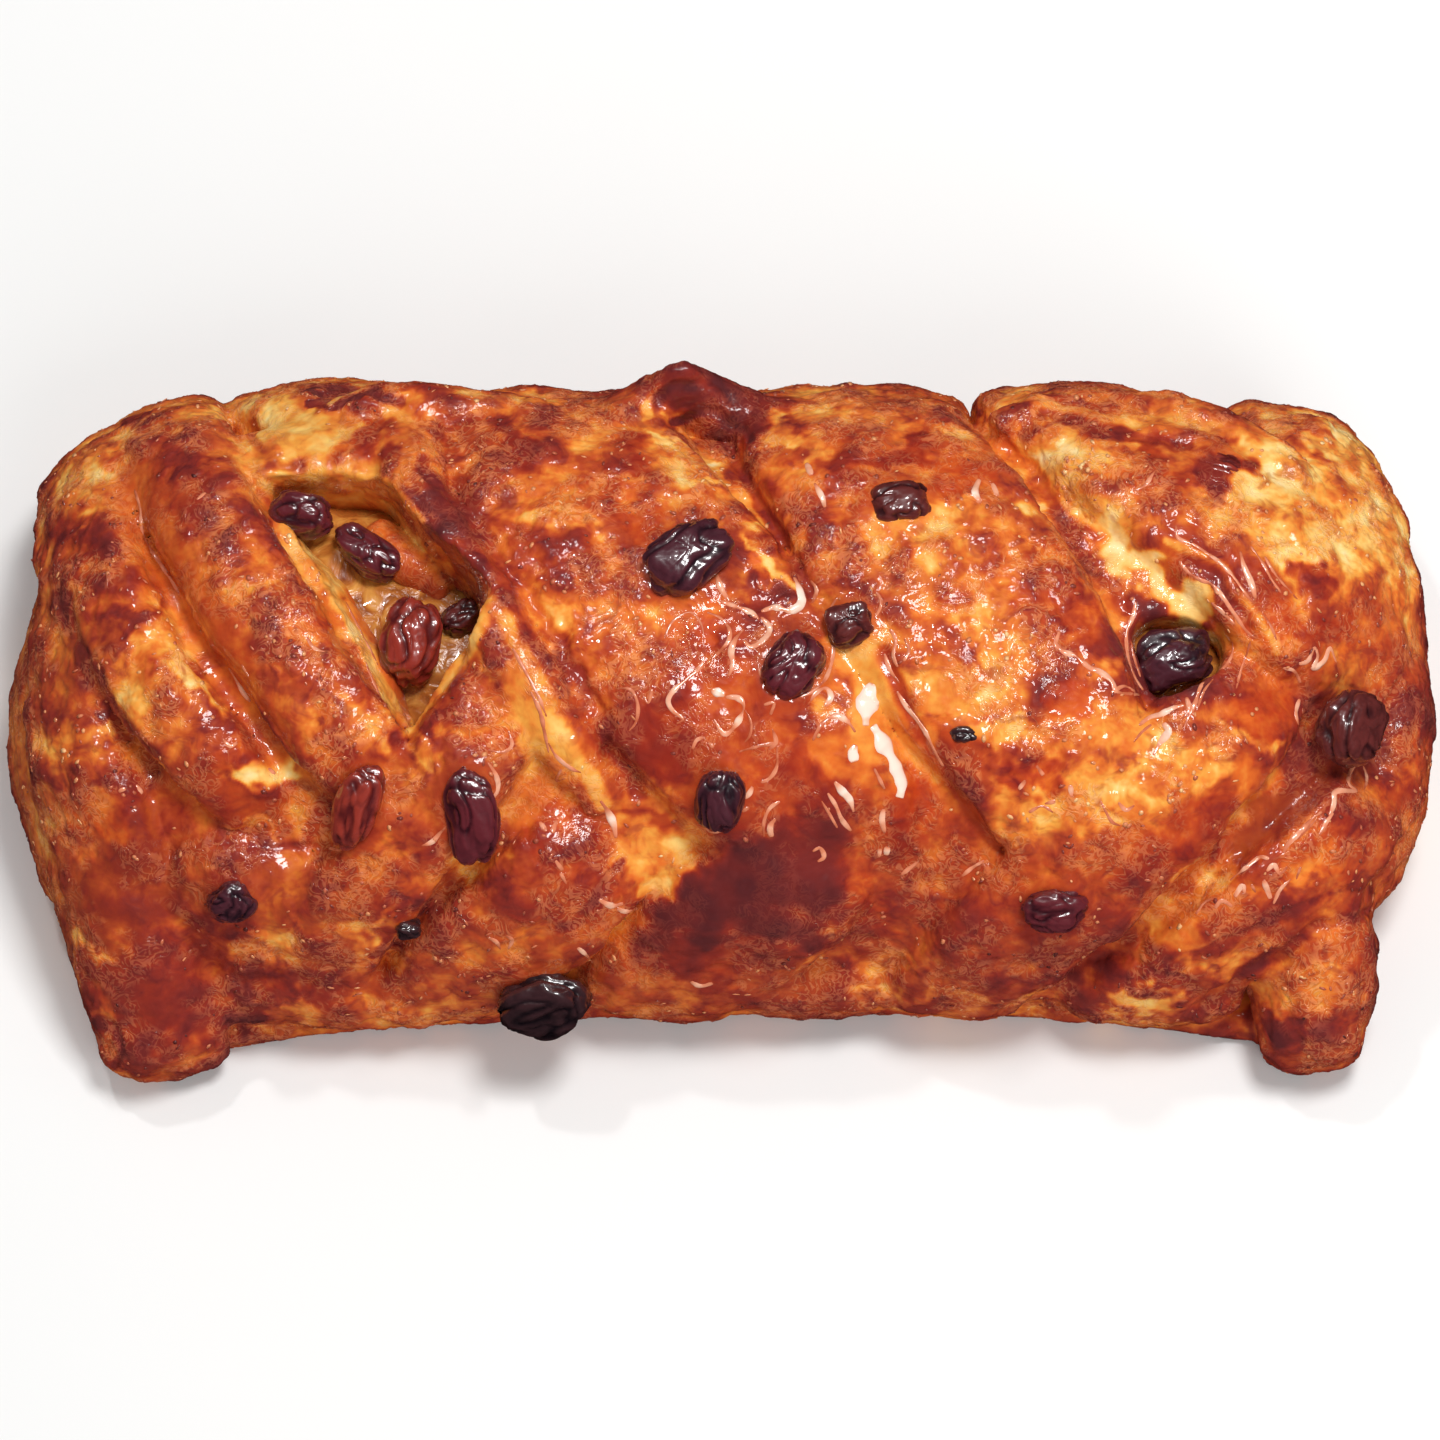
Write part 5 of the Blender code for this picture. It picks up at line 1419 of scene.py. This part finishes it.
def light_studio():
    """Soft even light from all round, and the area lights."""
    world = bpy.data.worlds.new("studio")
    bpy.context.scene.world = world
    world.use_nodes = True
    background = world.node_tree.nodes["Background"]
    background.inputs["Color"].default_value = (1.0, 1.0, 1.0, 1.0)
    background.inputs["Strength"].default_value = SKY_STRENGTH
    world.cycles_visibility.glossy = False
    for name, (place, size, watts, mirrored) in LIGHTS.items():
        light = bpy.data.lights.new(name, "AREA")
        light.shape = "RECTANGLE"
        light.size, light.size_y = size
        light.energy = watts
        obj = new_object(name, light)
        obj.visible_glossy = mirrored
        aim(obj, place, LIGHT_TARGET)


def lay_floor():
    mesh = bmesh.new()
    bmesh.ops.create_grid(mesh, x_segments=2, y_segments=2, size=FLOOR_HALF_SIZE)
    data = bpy.data.meshes.new("floor")
    mesh.to_mesh(data)
    mesh.free()
    made, _, shader = new_material("pale_floor", Roughness=0.7)
    shader.inputs["Base Color"].default_value = FLOOR_COLOUR
    data.materials.append(made)
    floor = new_object("floor", data)
    floor.visible_glossy = False


def set_camera():
    """The camera, which looks at the danish as the plan does."""
    scene = bpy.context.scene
    scene.view_settings.view_transform = "Standard"
    camera = bpy.data.cameras.new("camera")
    camera.lens = LENS_MM
    camera.sensor_width = SENSOR_MM
    scene.camera = new_object("camera", camera)
    target = Vector(PLAN_TARGET) + TO_ORIGIN
    aim(scene.camera, target + Vector(plan_view()[3]) * PLAN_REACH, target)


def main():
    mottle = mottle_group()
    raisins, crumbs = raisin_places(), speck_places()
    body = dough_body()
    shape_crust(body, raisins + crumbs)
    crust, flakes, pale_glaze_highlight = crust_material(mottle), flake_material(), highlight_thread_material(mottle)

    # Ridges of glaze on the crust, coloured pale as painted highlights and glare
    threads = grown_piece("glaze_threads", thread_lines(), thread_group(), {
        "Crust": body, "Eye": tuple(plan_view()[0]), "Raised share": -0.30,
        "Flattened share": 0.60, "Sides": 10, "Material": pale_glaze_highlight})
    finish_piece(threads, pale_glaze_highlight, "baked_dough")
    for index, name in enumerate(("flakes_first", "flakes_second")):
        scattered = grown_piece(name, body.data, flake_group(), {
            "Flakes per mm2": FLAKES_PER_MM2, "Smallest mm": (0.14, 0.10, 0.03),
            "Largest mm": (0.46, 0.30, 0.08), "Seed": 11 + index, "Material": flakes})
        finish_piece(scattered, flakes, "baked_dough")

    for slab, normals in cut_slabs(body):
        finish_piece(slab, crust, "baked_dough", "pastry")
        slab.data.normals_split_custom_set_from_vertices(normals)
    bpy.data.objects.remove(body)

    finish_piece(make_filling(), filling_material(mottle), "fruit_filling", "filling")
    finishes = {finish: raisin_material(finish, mottle) for finish in RAISIN_COLOURS_AND_FOLD_SHADE}
    for number, place in enumerate(raisins, 1):
        raisin = make_raisin(f"dried_raisin_{number:02d}", place, number)
        finish_piece(raisin, finishes[place[3]], "raisin_skin", f"raisin_{number:02d}")
    for number, place in enumerate(crumbs, 1):
        crumb = make_raisin(f"fruit_crumb_{number}", place, CRUMB_SEED + number, segments=40, rings=26)
        finish_piece(crumb, finishes[place[3]], "baked_dough")
    light_studio()
    lay_floor()
    set_camera()


main()
